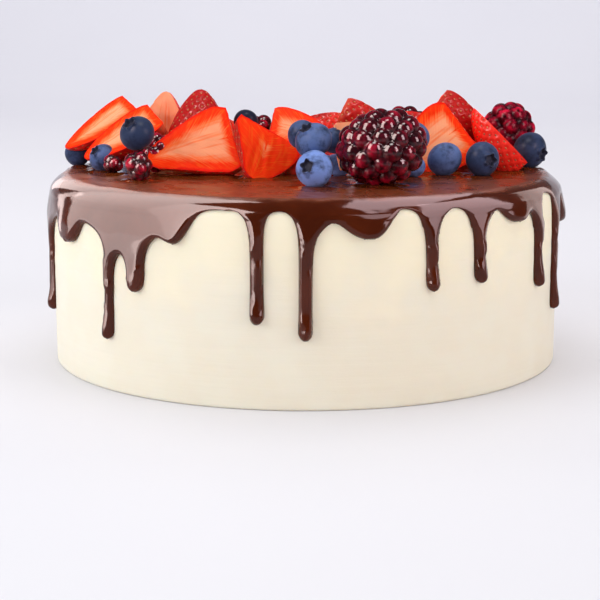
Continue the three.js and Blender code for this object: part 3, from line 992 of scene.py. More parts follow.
@dataclass
class Top:
    """The glaze's flat top, which rises to each fruit and ripples between them.

    ring_gap: how far apart its rings of points are, which lose half their points at each radius of
    halved_at and end at the hub. meniscus: how far it rises to a fruit, over the meniscus_width, which
    changes by the share meniscus_change. foot: how far up a fruit's points count as its foot. depth:
    how far below the height the rounding counts as top. ripple: how deep its ripples are, which end at
    ripple_end and fade over ripple_fade before it. fine: how strong the finer ones are. wet_width: how
    far from a fruit's foot it is wet.
    """

    height: float
    radius: float
    fruit: list
    ring_gap: float = 1.35
    halved_at: tuple[float, ...] = (87.0, 50.0, 25.0, 12.0, 6.0)
    hub: float = 3.0
    meniscus: float = 0.7
    meniscus_width: float = 1.9
    meniscus_change: float = 0.45
    foot: float = 2.5
    depth: float = 2.4
    ripple: float = 0.2
    ripple_end: float = 103.0
    ripple_fade: float = 8.0
    fine: float = 0.6
    wet_width: float = 4.0

    def sheet(self, rim: list[int], shell: np.ndarray, first: int) -> tuple[np.ndarray, Faces]:
        """Fills the top, inside the grid's first row.

        Args:
            rim: the numbers of the first row's points.
            shell: the grid's points.
            first: the number of the sheet's first point.

        Returns:
            The sheet's points and faces.
        """
        points, faces = [], []
        ring, radius = rim, self.radius
        halve_at = list(self.halved_at)
        turns = np.array([math.atan2(shell[i, 0], -shell[i, 1]) for i in rim])
        while radius > self.hub:
            radius -= self.ring_gap
            halve = bool(halve_at) and radius < halve_at[0]
            if halve:
                halve_at.pop(0)
                turns = turns[::2]
            start = first + len(points)
            made = [start + i for i in range(len(turns))]
            points += [(radius * math.sin(t), -radius * math.cos(t), self.height) for t in turns]
            for i, here in enumerate(made):
                there = made[(i + 1) % len(made)]
                if halve:
                    a, b, c = ring[2 * i], ring[2 * i + 1], ring[(2 * i + 2) % len(ring)]
                    faces += [(a, b, here), (b, there, here), (b, c, there)]
                else:
                    faces.append((ring[i], ring[(i + 1) % len(made)], there, here))
            ring = made
        middle = first + len(points)
        points.append((0, 0, self.height))
        for i, here in enumerate(ring):
            faces.append((here, ring[(i + 1) % len(ring)], middle))
        return np.array(points), faces

    def raise_to_fruit(self, points: np.ndarray) -> np.ndarray:
        """Lifts the top a little where it meets a fruit, and ripples it between them.

        Args:
            points: the glaze's points, which it moves.

        Returns:
            How wet and glossy each point is, 1 at the foot of a fruit.
        """
        near = [p for made in self.fruit for p in low_points(made, (self.height + self.foot) * MM)]
        tree = KDTree(len(near))
        for i, point in enumerate(near):
            tree.insert((point[0], point[1], 0), i)
        tree.balance()
        wet = np.zeros(len(points))
        on_top = np.nonzero(points[:, 2] > self.height - self.depth)[0]
        flat = points[on_top] * (1, 1, 0)
        ripples = Wave(21, 17).at(flat) + self.fine * Wave(22, 7).at(flat)
        reaches = self.meniscus_width * (1 + self.meniscus_change * Wave(23, 9).at(flat))
        for i, ripple, reach in zip(on_top, ripples, reaches):
            x, y, z = points[i]
            away = tree.find((x * MM, y * MM, 0))[2] / MM
            fade = min(max((self.ripple_end - math.hypot(x, y)) / self.ripple_fade, 0), 1)
            close = math.exp(-(away / max(reach, 0.5)) ** 1.4)
            points[i, 2] = z + self.meniscus * close + self.ripple * fade * (ripple - 0.9)
            wet[i] = min(1.0, 1.6 * math.exp(-(away / self.wet_width) ** 2))
        return wet


@dataclass
class Glaze:
    """The chocolate glaze: a sheet on top, a skirt over the rim, and the drips.

    The skirt is laid out on a grid: columns round the cake, and rows down from the top. A row's place
    is its reach, the way down the cream's side from the start of its corner, so that the top lies at
    negative reaches.

    flat: how far out the flat top goes. shoulder_radius, swell_radius: how wide the skirt is below the
    rim, and at swell_height, where it is widest. rim_fullness: how full the rim's curve is. start: the
    grid's first reach. tucked: how far the edge and the back lie inside the cream. bead: how wide the
    rounded edge is, a quarter circle for the share round_edge and softer for the rest. evened: how
    often the thickness is evened out, from evened_from cells inside the outline. flow: how far a
    skirt's edge flows down to a run, as a share of its width, with the least and most. A run is wider
    up to swell_length radii above its end, and leans up to lean_length widths above it. Its end is a
    bulb bulb_length radii long, which fades over bulb_margin beside it, and its root is thicker too.
    unevenness: how uneven it is in slow and in fine waves. uneven, hung: from which reach and over what
    length it gets uneven, and hangs down by the sag.
    """

    cake: Cream
    fruit: list
    top: float = 78.0
    flat: float = 99.0
    shoulder_radius: float = 107.3
    swell_radius: float = 108.35
    swell_height: float = 62.0
    rim_fullness: float = 1.6
    columns: int = 1408
    start: float = -14.0
    tucked: float = 0.12
    bead: float = 3.2
    round_edge: float = 0.75
    evened: int = 5
    evened_from: float = 1.6
    flow: tuple[float, float, float] = (0.55, 2.9, 4.5)
    swell_length: float = 2.4
    lean_length: float = 3.0
    bulb_thickness: float = 1.2
    bulb_length: float = 2.2
    bulb_margin: float = 4.0
    root_thickness: float = 0.3
    root_reach: float = 14.0
    root_length: float = 8.0
    unevenness: tuple[float, float] = (0.12, 0.03)
    uneven: tuple[float, float] = (-3.0, 5.0)
    sag: float = 1.5
    hung: tuple[float, float] = (2.0, 8.0)

    @property
    def step(self) -> float:
        """The size of the grid's cells."""
        return 2 * math.pi * self.cake.radius / self.columns

    @property
    def degree(self) -> float:
        """How far one degree round the cake is."""
        return math.radians(1) * self.cake.radius

    @property
    def corner_reach(self) -> float:
        """The reach at which the cream's corner ends and its straight side starts."""
        return self.cake.corner * math.pi / 2

    @property
    def shoulder(self) -> float:
        """The height at which the cream's straight side starts."""
        return self.cake.height - self.cake.corner

    def reach_of(self, height: np.ndarray) -> np.ndarray:
        """The reach of a height on the cream's side."""
        up = np.clip((np.asarray(height, float) - self.shoulder) / self.cake.corner, 0, 1)
        return self.corner_reach - self.cake.corner * np.arcsin(up) + np.maximum(self.shoulder - height, 0)

    def cream_line(self, reach: np.ndarray) -> np.ndarray:
        """Radius and height of the cream at each reach.

        Args:
            reach: the reaches.

        Returns:
            One pair each.
        """
        turn = np.clip(reach / self.cake.corner, 0, math.pi / 2)
        radius = self.cake.radius - self.cake.corner * (1 - np.sin(turn)) + np.minimum(reach, 0)
        height = self.shoulder + self.cake.corner * np.cos(turn) - np.maximum(reach - self.corner_reach, 0)
        return np.column_stack([radius, height])

    def outer_line(self, reach: np.ndarray) -> np.ndarray:
        """Radius and height of the glaze's outside at each reach, where it has its full thickness.

        Args:
            reach: the reaches.

        Returns:
            One pair each.
        """
        share = np.clip((self.corner_reach - reach) / (self.corner_reach - self.start), 0, 1)
        turn = share * math.pi / 2
        power = 2 / self.rim_fullness
        radius = self.flat + (self.shoulder_radius - self.flat) * np.cos(turn) ** power
        height = self.shoulder + (self.top - self.shoulder) * np.sin(turn) ** power
        below = reach > self.corner_reach
        down = np.clip((reach - self.corner_reach) / (self.shoulder - self.swell_height), 0, 1)
        swell = (self.swell_radius - self.shoulder_radius) * (1 - (1 - down) ** 2)
        radius = np.where(below, self.shoulder_radius + swell, radius)
        height = np.where(below, self.shoulder - (reach - self.corner_reach), height)
        return np.column_stack([radius, height])

    def flares(self, number: int) -> tuple[Flare, Flare]:
        """The edge on the left and on the right of a run.

        Args:
            number: which run.

        Returns:
            The two flares.
        """
        run, made = RUNS[number], []
        for (angle, height), flow in ((ARCHES[number - 1], run.left), (ARCHES[number], None)):
            wide = max(abs(turned_from(angle, run.angle)) * self.degree - run.width / 2, 1.0)
            share, least, most = self.flow
            flow = flow or float(np.clip(share * wide, least, most))
            made.append(Flare(float(self.reach_of(height)), wide, flow))
        return made[0], made[1]

    def skirt_reach(self, angles: np.ndarray) -> np.ndarray:
        """The reach of the skirt's lower edge at each angle, drips left out below their ends.

        Args:
            angles: the angles.

        Returns:
            One reach each.
        """
        edge = np.zeros(len(angles))
        for number, run in enumerate(RUNS):
            off = turned_from(angles, run.angle) * self.degree
            if run.end is End.BLUNT:
                for (angle, height), (flat, soon), side in zip(ARCHES[number - 1:][:2], run.rises, (-1, 1)):
                    away = off * side / (abs(turned_from(angle, run.angle)) * self.degree)
                    here = (away >= 0) & (away <= 1)
                    rise = 1 - (1 - away[here] ** flat) ** soon
                    edge[here] = self.reach_of(run.low + (height - run.low) * rise)
                continue
            lowest = float(self.reach_of(run.end_height))
            for flare, side in zip(self.flares(number), (-1, 1)):
                away = off * side - run.width / 2
                here = (off * side >= 0) & (away <= flare.wide)
                root = min(flare.top + 2 * flare.flow, lowest)
                edge[here] = np.minimum(flare.fall(away[here]), root)
        return edge

    def cover(self, angles: np.ndarray, reaches: np.ndarray) -> np.ndarray:
        """How far inside the glaze's outline each point of the grid is, negative outside.

        Args:
            angles: the columns' angles.
            reaches: the rows' reaches.

        Returns:
            One distance for each point.
        """
        edge = self.skirt_reach(angles)
        slope = (np.roll(edge, -1) - np.roll(edge, 1)) / (2 * self.step)
        inside = (edge[None, :] - reaches[:, None]) / np.sqrt(1 + slope ** 2)[None, :]
        for number, run in enumerate(RUNS):
            if run.end is End.BLUNT:
                continue
            span = turned_from(angles, run.angle) * self.degree
            widest = float(self.reach_of(run.end_height))
            up = widest - reaches
            wider = run.end_radius - run.width / 2
            swell = wider * np.exp(-(up / (self.swell_length * run.end_radius)) ** 2)
            lean = run.lean * np.exp(-np.maximum(up, 0) / (self.lean_length * run.width))
            for flare, side in zip(self.flares(number), (-1, 1)):
                near = np.nonzero((span * side >= 0) & (span * side < flare.wide + run.width))[0]
                off = np.abs(span[near][None, :] - lean[:, None])
                half = run.width / 2 + swell + flare.spread(reaches)
                tilt = np.sqrt(1 + np.gradient(half, reaches) ** 2)
                shaft = (half[:, None] - off) / tilt[:, None]
                end = run.end_radius - np.hypot(off, up[:, None] / run.end.value)
                hang = np.where(up[:, None] > 0, shaft, end)
                below_arch = reaches[:, None] > flare.top + 0.5
                inside[:, near] = np.maximum(inside[:, near], np.where(below_arch, hang, -9.0))
        return inside

    def thickness(self, angles: np.ndarray, reaches: np.ndarray) -> np.ndarray:
        """How much thicker than the plain skirt the glaze is at each point of the grid.

        Args:
            angles: the columns' angles.
            reaches: the rows' reaches.

        Returns:
            One value for each point.
        """
        extra = np.zeros((len(reaches), len(angles)))
        for run in RUNS:
            off = (turned_from(angles, run.angle) * self.degree)[None, :]
            widest = float(self.reach_of(run.end_height))
            beside = np.exp(-(off / (0.8 * run.width + self.bulb_margin)) ** 2)
            bulb = np.exp(-((reaches[:, None] - widest) / (self.bulb_length * run.end_radius)) ** 2)
            root = np.exp(-((reaches[:, None] - self.root_reach) / self.root_length) ** 2)
            extra += beside * (self.bulb_thickness * bulb + self.root_thickness * root)
        return extra

    def build(self) -> bpy.types.Object:
        """Makes the glaze as one closed skin.

        Returns:
            The piece.
        """
        angles = np.arange(self.columns) * 360 / self.columns - 180
        lowest = float(self.reach_of(min(run.low for run in RUNS))) + 2
        reaches = np.arange(self.start, lowest, self.step)
        trace = Trace(self.cover(angles, reaches), angles, reaches, self.step, self.degree)
        shell, back = self.skirt(trace, self.thickness(angles, reaches))

        # The back shares its points with the outside along the outline.
        inner, count = ~trace.on_edge, len(shell)
        back_number = np.where(inner, count + np.cumsum(inner) - 1, np.arange(count))
        faces = trace.faces + [tuple(int(back_number[i]) for i in reversed(face)) for face in trace.faces]
        first_row = [int(n) for n in trace.number[0]]
        top = Top(self.top, self.flat, self.fruit)
        sheet, sheet_faces = top.sheet(first_row, shell, count + int(inner.sum()))
        under = (0, 0, self.cake.height - self.tucked)
        whole = np.vstack([shell, back[inner], sheet, under])
        faces += sheet_faces
        for here, there in zip(first_row, first_row[1:] + first_row[:1]):
            faces.append((len(whole) - 1, int(back_number[here]), int(back_number[there])))
        wet = top.raise_to_fruit(whole)
        made = piece("chocolate_glaze", whole, faces, [GlazeFinish().material()])
        keep(made, "wet", wet)
        return made

    def skirt(self, trace: Trace, extra: np.ndarray) -> tuple[np.ndarray, np.ndarray]:
        """Gives the traced skirt its thickness.

        Args:
            trace: the traced skirt.
            extra: how much thicker it is at each point of the grid.

        Returns:
            The points of its outside, and those of its back on the cream.
        """
        reach, own = trace.spots[:, 1], trace.inside.sum()
        on_drum = self.drum(trace.spots)
        away = self.off_outline(trace, on_drum)
        full = self.fullness(trace, away)
        more = np.zeros(len(reach))
        more[:own] = extra[trace.inside]
        slow, fine = self.unevenness
        uneven = slow * Wave(11, 26).at(on_drum) + fine * Wave(12, 11).at(on_drum)
        uneven_share, sag_share = (np.clip((reach - start) / length, 0, 1)
                                   for start, length in (self.uneven, self.hung))
        cream, outer = self.cream_line(reach), self.outer_line(reach)
        outer[:, 0] += (more + uneven) * uneven_share * (1 - np.exp(-away))
        line = cream + (outer - cream) * full[:, None]
        line[:, 1] -= self.sag * full * sag_share
        line[trace.on_edge, 0] -= self.tucked
        back = self.round_cake(trace.spots[:, 0], cream - (self.tucked, 0))
        back[reach < 0, 2] -= self.tucked
        return self.round_cake(trace.spots[:, 0], line), back

    def drum(self, spots: np.ndarray) -> np.ndarray:
        """Angles and reaches as points on a drum as wide as the cake, to measure between them."""
        line = np.column_stack([np.full(len(spots), self.cake.radius), -spots[:, 1]])
        return self.round_cake(spots[:, 0], line)

    def off_outline(self, trace: Trace, on_drum: np.ndarray) -> np.ndarray:
        """How far each point of the skirt is from its outline.

        Args:
            trace: the traced skirt.
            on_drum: its points on the drum.

        Returns:
            One distance each.
        """
        first, last = (trace.spots[list(ends)] for ends in zip(*trace.outline))
        gap = np.column_stack([turned_from(last[:, 0], first[:, 0]), last[:, 1] - first[:, 1]])
        quarters = np.arange(4)[None, :, None] / 4
        marks = self.drum((first[:, None] + quarters * gap[:, None]).reshape(-1, 2))
        tree = KDTree(len(marks))
        for i, mark in enumerate(marks):
            tree.insert(mark, i)
        tree.balance()
        return np.array([0 if on else tree.find(spot)[2] for spot, on in zip(on_drum, trace.on_edge)])

    def fullness(self, trace: Trace, away: np.ndarray) -> np.ndarray:
        """How much of its full thickness the skirt has: less on the round edge, evened out inside it.

        Args:
            trace: the traced skirt.
            away: how far each of its points is from its outline.

        Returns:
            One share each.
        """
        part, inside = np.clip(away / self.bead, 0, 1), trace.inside
        share = self.round_edge * np.sqrt(1 - (1 - part) ** 2)
        share += (1 - self.round_edge) * np.sin(math.pi / 2 * part)
        own = inside.sum()
        even, clear = np.zeros(inside.shape), np.zeros(inside.shape, bool)
        even[inside] = share[:own]
        clear[inside] = away[:own] > self.evened_from * self.step
        for _ in range(self.evened):
            total, weight = np.zeros(inside.shape), np.zeros(inside.shape)
            for shift, axis in ((1, 0), (-1, 0), (1, 1), (-1, 1)):
                moved, there = np.roll(even, shift, axis), np.roll(inside, shift, axis)
                if axis == 0:
                    there[0 if shift == 1 else -1] = False
                total += moved * there
                weight += there
            mean = np.where(weight > 0, total / np.maximum(weight, 1), even)
            even = np.where(clear, 0.5 * even + 0.5 * mean, even)
        share[:own] = even[inside]
        return share

    def round_cake(self, angles: np.ndarray, line: np.ndarray) -> np.ndarray:
        """Points at some angles round the cake, each with its radius and height."""
        turns = np.radians(angles)
        return np.column_stack([line[:, 0] * np.sin(turns), -line[:, 0] * np.cos(turns), line[:, 1]])


@dataclass(frozen=True)
class Fruit:
    """A fruit of the heap: where it lies, as place right, back and up from the top of the glaze.

    Without a height it rests where its CAD node rests.
    """

    node: str
    at: tuple

    def stand(self, points: np.ndarray, turn: np.ndarray) -> np.ndarray:
        """Turns a fruit's points and brings them to its place.

        Args:
            points: the fruit's own points.
            turn: its rotation matrix.

        Returns:
            The points in the cake's frame.
        """
        turned = points @ turn.T
        if len(self.at) > 2:
            lift = Glaze.top + self.at[2] - GAP
        else:
            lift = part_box(self.node)[0].z / MM - GAP - turned[:, 2].min()
        return turned + (self.at[0], self.at[1], lift)


@dataclass(frozen=True)
class Blueberry(Fruit):
    """A blueberry: a flattened ball with a five-lobed crown round a shallow cup.

    Apart from the radius, sizes are shares of it. crown: where the crown points. bloom: how much waxy
    bloom is left. mouth: the cup's least radius. lobe: how much further a lobe reaches. lip, lip_width:
    how high and wide the cup's lip is. lobe_height: how much higher a lobe is. cup: how deep the cup is.
    slope: how far its wall slopes. dimple: how deep the dent at the stalk's end is.
    """

    radius: float = 6.0
    crown: Point = (0, 0, 1)
    bloom: float = 1.0
    flatness: float = 0.87
    mouth: float = 0.30
    lobe: float = 0.10
    lip: float = 0.055
    lobe_height: float = 0.10
    lip_width: float = 0.055
    cup: float = 0.20
    slope: float = 0.022
    dimple: float = 0.03
    unevenness: float = 0.02
    crown_rows: int = 34
    rows: int = 30
    columns: int = 80

    def build(self, material: bpy.types.Material, seed: int) -> bpy.types.Object:
        """Makes the berry.

        Args:
            material: its skin.
            seed: which of the many uneven shapes it takes.

        Returns:
            The piece.
        """
        crown_end, top_end, dent = 0.9, 1.2, 0.4
        down = np.concatenate([np.linspace(0.02, crown_end, self.crown_rows),
                               np.linspace(crown_end, math.pi - 0.05, self.rows)[1:]])
        around = np.linspace(0, 2 * math.pi, self.columns, endpoint=False)
        polar, turn = (each.ravel() for each in np.meshgrid(down, around, indexing="ij"))
        out = np.sin(polar)
        lobe = 0.5 + 0.5 * np.cos(5 * turn)
        mouth = self.mouth + self.lobe * lobe
        height = self.flatness * np.cos(polar)
        # The crown: a lip of five pointed lobes, a steep wall inside it and an uneven floor.
        lip = np.exp(-((out - mouth) / self.lip_width) ** 2) * (self.lip + self.lobe_height * lobe)
        cup = self.cup / (1 + np.exp((out - mouth * 0.84) / self.slope))
        top_side = polar < top_end
        height = height + np.where(top_side, lip - cup, 0)
        height += np.where(polar > math.pi - dent, self.dimple * (polar - math.pi + dent) / dent, 0)
        points = np.column_stack([out * np.cos(turn), out * np.sin(turn), height]) * self.radius
        points *= (1 + self.unevenness * Wave(seed, 2 * self.radius).at(points))[:, None]
        count = len(points)
        ends = [(0, 0, points[:self.columns, 2].mean()), (0, 0, points[-self.columns:, 2].mean())]
        points = np.vstack([points, ends])
        faces = [face[::-1] for face in grid_faces(len(down), self.columns, True)]
        for i in range(self.columns):
            j = (i + 1) % self.columns
            faces.append((count, i, j))
            faces.append((count + 1, count - self.columns + j, count - self.columns + i))
        made = piece(self.node + "_fruit", self.stand(points, turn_to(self.crown)), faces, [material])
        dry = np.clip((mouth * 1.08 - out) / 0.05, 0, 1) * top_side
        keep(made, "dry", np.append(dry, [1, 0]))
        keep(made, "bloom", np.full(count + 2, self.bloom))
        return made


@dataclass(frozen=True)
class Bramble(Fruit):
    """A bramble: plump drupelets set in a spiral over a core.

    drupelet: a drupelet's usual radius. tip: where its tip points. juice: how red it is, which sets how
    strongly its painted glow shows. gloss: how strongly it mirrors. splits: how often the ball that its
    skin is made of is split. packing: how densely the drupelets are set. sizes, ripeness: the least and most
    of both, as shares.
    """

    length: float = 25.0
    width: float = 20.0
    drupelet: float = 3.2
    tip: Point = (0, 0, 1)
    juice: float = 0.5
    gloss: float = 0.5
    splits: int = 6
    packing: float = 3.1
    sizes: tuple[float, float] = (0.92, 1.1)
    ripeness: tuple[float, float] = (0.25, 1.0)

    @property
    def core(self) -> tuple[float, float]:
        """How far the drupelets' middles lie from the axis, and from the middle along it."""
        return self.width / 2 - self.drupelet, self.length / 2 - self.drupelet

    def drupelets(self) -> np.ndarray:
        """The middles of the drupelets.

        Returns:
            One row each.
        """
        across, along = self.core
        count = round(self.packing * (across + 1) * (along + across + 2) / self.drupelet ** 2)
        number = np.arange(count)
        up = 1 - 2 * (number + 0.5) / count
        out = np.sqrt(1 - up ** 2) * across
        turn = number * GOLDEN_TURN
        return np.column_stack([out * np.cos(turn), out * np.sin(turn), up * along])

    def ball(self) -> tuple[np.ndarray, Faces]:
        """Directions evenly spread all round, and the faces between them.

        Returns:
            The directions, one row each, and the faces.
        """
        bpy.ops.mesh.primitive_ico_sphere_add(subdivisions=self.splits, radius=1)
        ball = bpy.context.object
        ways = np.empty(3 * len(ball.data.vertices), np.float32)
        ball.data.vertices.foreach_get("co", ways)
        ways = ways.reshape(-1, 3).astype(float)
        ways /= np.linalg.norm(ways, axis=1)[:, None]
        faces = [tuple(polygon.vertices) for polygon in ball.data.polygons]
        bpy.data.objects.remove(ball)
        return ways, faces

    def build(self, material: bpy.types.Material, seed: int) -> bpy.types.Object:
        """Makes the berry.

        Args:
            material: the drupelets' skin.
            seed: which of the many mixes of ripeness it takes.

        Returns:
            The piece.
        """
        draw = np.random.default_rng(seed)
        middles = self.drupelets()
        sizes = self.drupelet * draw.uniform(*self.sizes, len(middles))
        ripeness = draw.uniform(*self.ripeness, len(middles))
        ways, faces = self.ball()
        # Each direction ends where it leaves the core or the furthest drupelet, its owner.
        across, along = self.core
        reach = 1 / np.sqrt((ways[:, 0] ** 2 + ways[:, 1] ** 2) / across ** 2 + ways[:, 2] ** 2 / along ** 2)
        owner = np.full(len(ways), -1)
        for i, (middle, size) in enumerate(zip(middles, sizes)):
            nearest = ways @ middle
            missed = middle @ middle - nearest ** 2
            hit = (nearest > 0) & (missed < size ** 2)
            far = np.where(hit, nearest + np.sqrt(np.maximum(size ** 2 - missed, 0)), 0)
            owner = np.where(far > reach, i, owner)
            reach = np.maximum(reach, far)
        points = ways * reach[:, None]
        # Painted glow and shade: a drupelet is painted reddest where it points outwards, and darkest in the
        # creases, where shade falls.
        held = owner >= 0
        local = points[held] - middles[owner[held]]
        local /= np.linalg.norm(local, axis=1)[:, None]
        outward = middles[owner[held]] / np.linalg.norm(middles[owner[held]], axis=1)[:, None]
        ripeness_and_painted_glow = np.zeros(len(ways))
        facing = np.clip((local * outward).sum(axis=1), 0, 1)
        ripeness_and_painted_glow[held] = np.minimum(self.juice * ripeness[owner[held]] * 2, 1) * facing ** 2.2
        standing = self.stand(points, turn_to(self.tip))
        made = piece(self.node + "_fruit", standing, faces, [material], sharp=50)
        keep(made, "ripeness_and_painted_glow", ripeness_and_painted_glow)
        keep(made, "juice", np.full(len(ways), self.juice))
        return made


class Part(Enum):
    """The parts of a strawberry piece, as the numbers of their materials."""

    SKIN = 0
    FLESH = 1
    SEED = 2


@dataclass(frozen=True)
class Strawberry(Fruit):
    """A strawberry half or quarter, tip down in its own frame, its cut face towards -Y.

    face: where the cut face looks. tone: how bright and pale inside it is, or how dark if negative, partly
    its own colour and partly painted light and shade.
    seed_gap: how far apart the seeds are. pit, pit_width: how deep and wide the pit round each is.
    seed_edge: how near a cut they sit, as an angle. dish: how uneven the cut face is. top_dish: how uneven
    the end is where the hull was cut off. oval, lobed: how far its round is from a circle, in two and in
    three waves. lean: how far its axis may bend, as a share of its width.
    """

    length: float = 30.0
    width: float = 24.0
    tip: Point = (0, 0, -1)
    face: Point = (0, -1, 0)
    cut: Cut = Cut.HALF
    habit: Habit = Habit.PLUMP
    tone_and_painted_light: float = 0.0
    rows: int = 84
    columns: int = 92
    face_columns: int = 26
    seed_gap: float = 3.1
    pit: float = 0.42
    pit_width: float = 0.95
    seed_packing: float = 0.87
    seed_edge: float = 0.07
    dish: float = 0.16
    top_dish: float = 0.25
    oval: float = 0.035
    lobed: float = 0.03
    lean: float = 0.05

    def outline(self) -> np.ndarray:
        """Radius and height of the skin from the tip up to the cut hull."""
        knots = [(wide * self.width / 2, (up - 0.5) * self.length) for up, wide in self.habit.value]
        return smooth_line(knots, self.rows)

    def build(self, materials: Sequence[bpy.types.Material], seed: int) -> bpy.types.Object:
        """Makes the piece of fruit, with its seeds.

        Args:
            materials: skin, flesh and seed.
            seed: which of the many uneven shapes it takes.

        Returns:
            The piece.
        """
        shell = StrawberryShell(self, seed)
        seeds = shell.seed_places()
        shell.add_skin(seeds)
        shell.add_faces()
        shell.add_top()
        for place, outward, upward in seeds:
            shell.add_seed(place, outward, upward)
        turn = turn_to(tuple(-part for part in self.tip), self.face)
        whole = self.stand(np.vstack(shell.points), turn)
        made = piece(self.node + "_fruit", whole, shell.faces, materials, sharp=55)
        made.data.polygons.foreach_set("material_index", np.array(shell.parts, np.int32))
        keep(made, "cut", np.vstack(shell.places))
        keep(made, "tone_and_painted_light", np.full(len(whole), self.tone_and_painted_light))
        return made


class StrawberryShell:
    """A strawberry piece under construction.

    line: the skin's outline. turns: the columns' angles. shares: how far out the cut face's columns
    are. places: where each point is in the fruit, as its way across the cut face, along the fruit and
    deep under the skin. parts: which part of the fruit each face is. tip: the number of the tip's point.
    ring: the skin's topmost row. axis: the first point of the axis. tops: the cut faces' topmost rows.
    """

    def __init__(self, berry: Strawberry, seed: int) -> None:
        """Draws the fruit's own uneven shape.

        Args:
            berry: its sizes.
            seed: which of the many uneven shapes it takes.
        """
        draw = np.random.default_rng(seed)
        self.berry = berry
        self.line = berry.outline()
        self.lean = draw.uniform(-berry.lean, berry.lean, 4)[0]
        self.start = draw.uniform(0, 2 * math.pi, 2)
        self.wave = Wave(seed + 50, 5)
        self.turns = np.linspace(0, berry.cut.value, berry.columns)
        self.shares = np.linspace(0, 1, berry.face_columns + 1)[1:-1]
        self.points: list[np.ndarray] = []
        self.places: list[np.ndarray] = []
        self.faces: Faces = []
        self.parts: list[int] = []
        self.count = 0

    def at(self, turn: Values, radius: Values, height: Values) -> np.ndarray:
        """Points round the fruit's axis, with this fruit's own unevenness.

        Args:
            turn: their angles.
            radius: how far out they are.
            height: how high they are.

        Returns:
            The points, one row each.
        """
        turn, radius, height = np.broadcast_arrays(*np.atleast_1d(turn, radius, height))
        share = self.along(height)
        uneven = 1 + self.berry.oval * np.cos(2 * turn + self.start[0])
        uneven = uneven + self.berry.lobed * np.cos(3 * turn + self.start[1] + 2 * share)
        bend = self.lean * self.berry.width * np.sin(math.pi * share)
        out = radius * uneven
        return np.column_stack([out * np.cos(turn) + bend, out * np.sin(turn), height])

    def along(self, height: np.ndarray) -> np.ndarray:
        """How far along the fruit some heights are, 0 at the tip and 1 at the hull."""
        return height / self.berry.length + 0.5

    def add(self, points: np.ndarray, *place: Values) -> int:
        """Adds points.

        Args:
            points: the points.
            place: how far across, along and deep they are.

        Returns:
            The number of the first.
        """
        first = self.count
        self.points.append(points)
        self.places.append(np.column_stack([np.broadcast_to(part, len(points)) for part in place]))
        self.count += len(points)
        return first

    def join(self, part: Part, faces: Faces) -> None:
        """Adds faces of one part of the fruit."""
        self.faces += faces
        self.parts += [part.value] * len(faces)

    def add_skin(self, seeds: list) -> None:
        """Adds the skin, with a pit round each seed, and the tip.

        Args:
            seeds: where the seeds are.
        """
        rows, columns = self.berry.rows - 1, self.berry.columns
        turns = np.tile(self.turns, rows)
        radius, height = (np.repeat(self.line[1:, k], columns) for k in (0, 1))
        skin = self.press(self.at(turns, radius, height), seeds)
        self.add(skin, np.where(turns < math.pi / 2, 1, -1), self.along(height), 0)
        self.join(Part.SKIN, grid_faces(rows, columns, False))
        self.tip = self.add(self.at(0, 0, self.line[:1, 1]), 0, 0, 0)
        self.join(Part.SKIN, [(self.tip, i + 1, i) for i in range(columns - 1)])
        self.ring = list(range((rows - 1) * columns, rows * columns))

    def add_faces(self) -> None:
        """Adds the axis and the two cut faces that meet there, in one plane where it is a half."""
        radius, rise = self.line[1:, 0], self.line[1:, 1]
        hull, least = self.line[-1, 1], 0.2
        deep = np.minimum(radius, (hull - rise) + least)
        self.axis = self.add(self.at(0, 0, rise), 0, self.along(rise), deep)
        self.tops = []
        for side, turn in ((1, 0.0), (-1, self.berry.cut.value)):
            first, width = self.count, len(self.shares)
            normal = np.array([math.sin(turn), -math.cos(turn), 0]) * side
            for wide, up in zip(radius, rise):
                radii = wide * self.shares
                strip = self.at(turn, radii, up)
                dish = self.wave.at(strip) * self.berry.dish * np.minimum(1, (wide - radii) / 2)
                deep = np.minimum(wide - radii, (hull - up) * 1.6 + least)
                self.add(strip + normal * dish[:, None], side * self.shares, self.along(up), deep)
            edge = 0 if side > 0 else self.berry.columns - 1
            steps = [1] + [width] * width + [self.berry.columns]
            for row in range(len(rise)):
                start = first + row * width
                here = [self.axis + row, *range(start, start + width), row * self.berry.columns + edge]
                below = [n - step for n, step in zip(here, steps)] if row else [self.tip] * len(here)
                for k in range(len(here) - 1):
                    loop = [below[k], below[k + 1], here[k + 1], here[k]][::side]
                    self.join(Part.FLESH, [tuple(dict.fromkeys(loop))])
            self.tops.append(here[1:-1])

    def add_top(self) -> None:
        """Adds the end where the hull was cut off, ring by ring from the skin to the axis."""
        wide, up = self.line[-1]
        outer = self.ring
        for k in range(len(self.shares) - 1, -1, -1):
            radius = wide * self.shares[k]
            ring = self.at(self.turns[1:-1], radius, up)
            ring[:, 2] += self.berry.top_dish * self.wave.at(ring) * min(1, (wide - radius) / 2)
            first = self.add(ring, self.shares[k], 1, wide - radius)
            inner = [self.tops[0][k], *range(first, self.count), self.tops[1][k]]
            self.join(Part.FLESH, list(zip(outer, outer[1:], inner[1:], inner)))
            outer = inner
        middle = self.axis + self.berry.rows - 2
        self.join(Part.FLESH, [(here, there, middle) for here, there in zip(outer, outer[1:])])

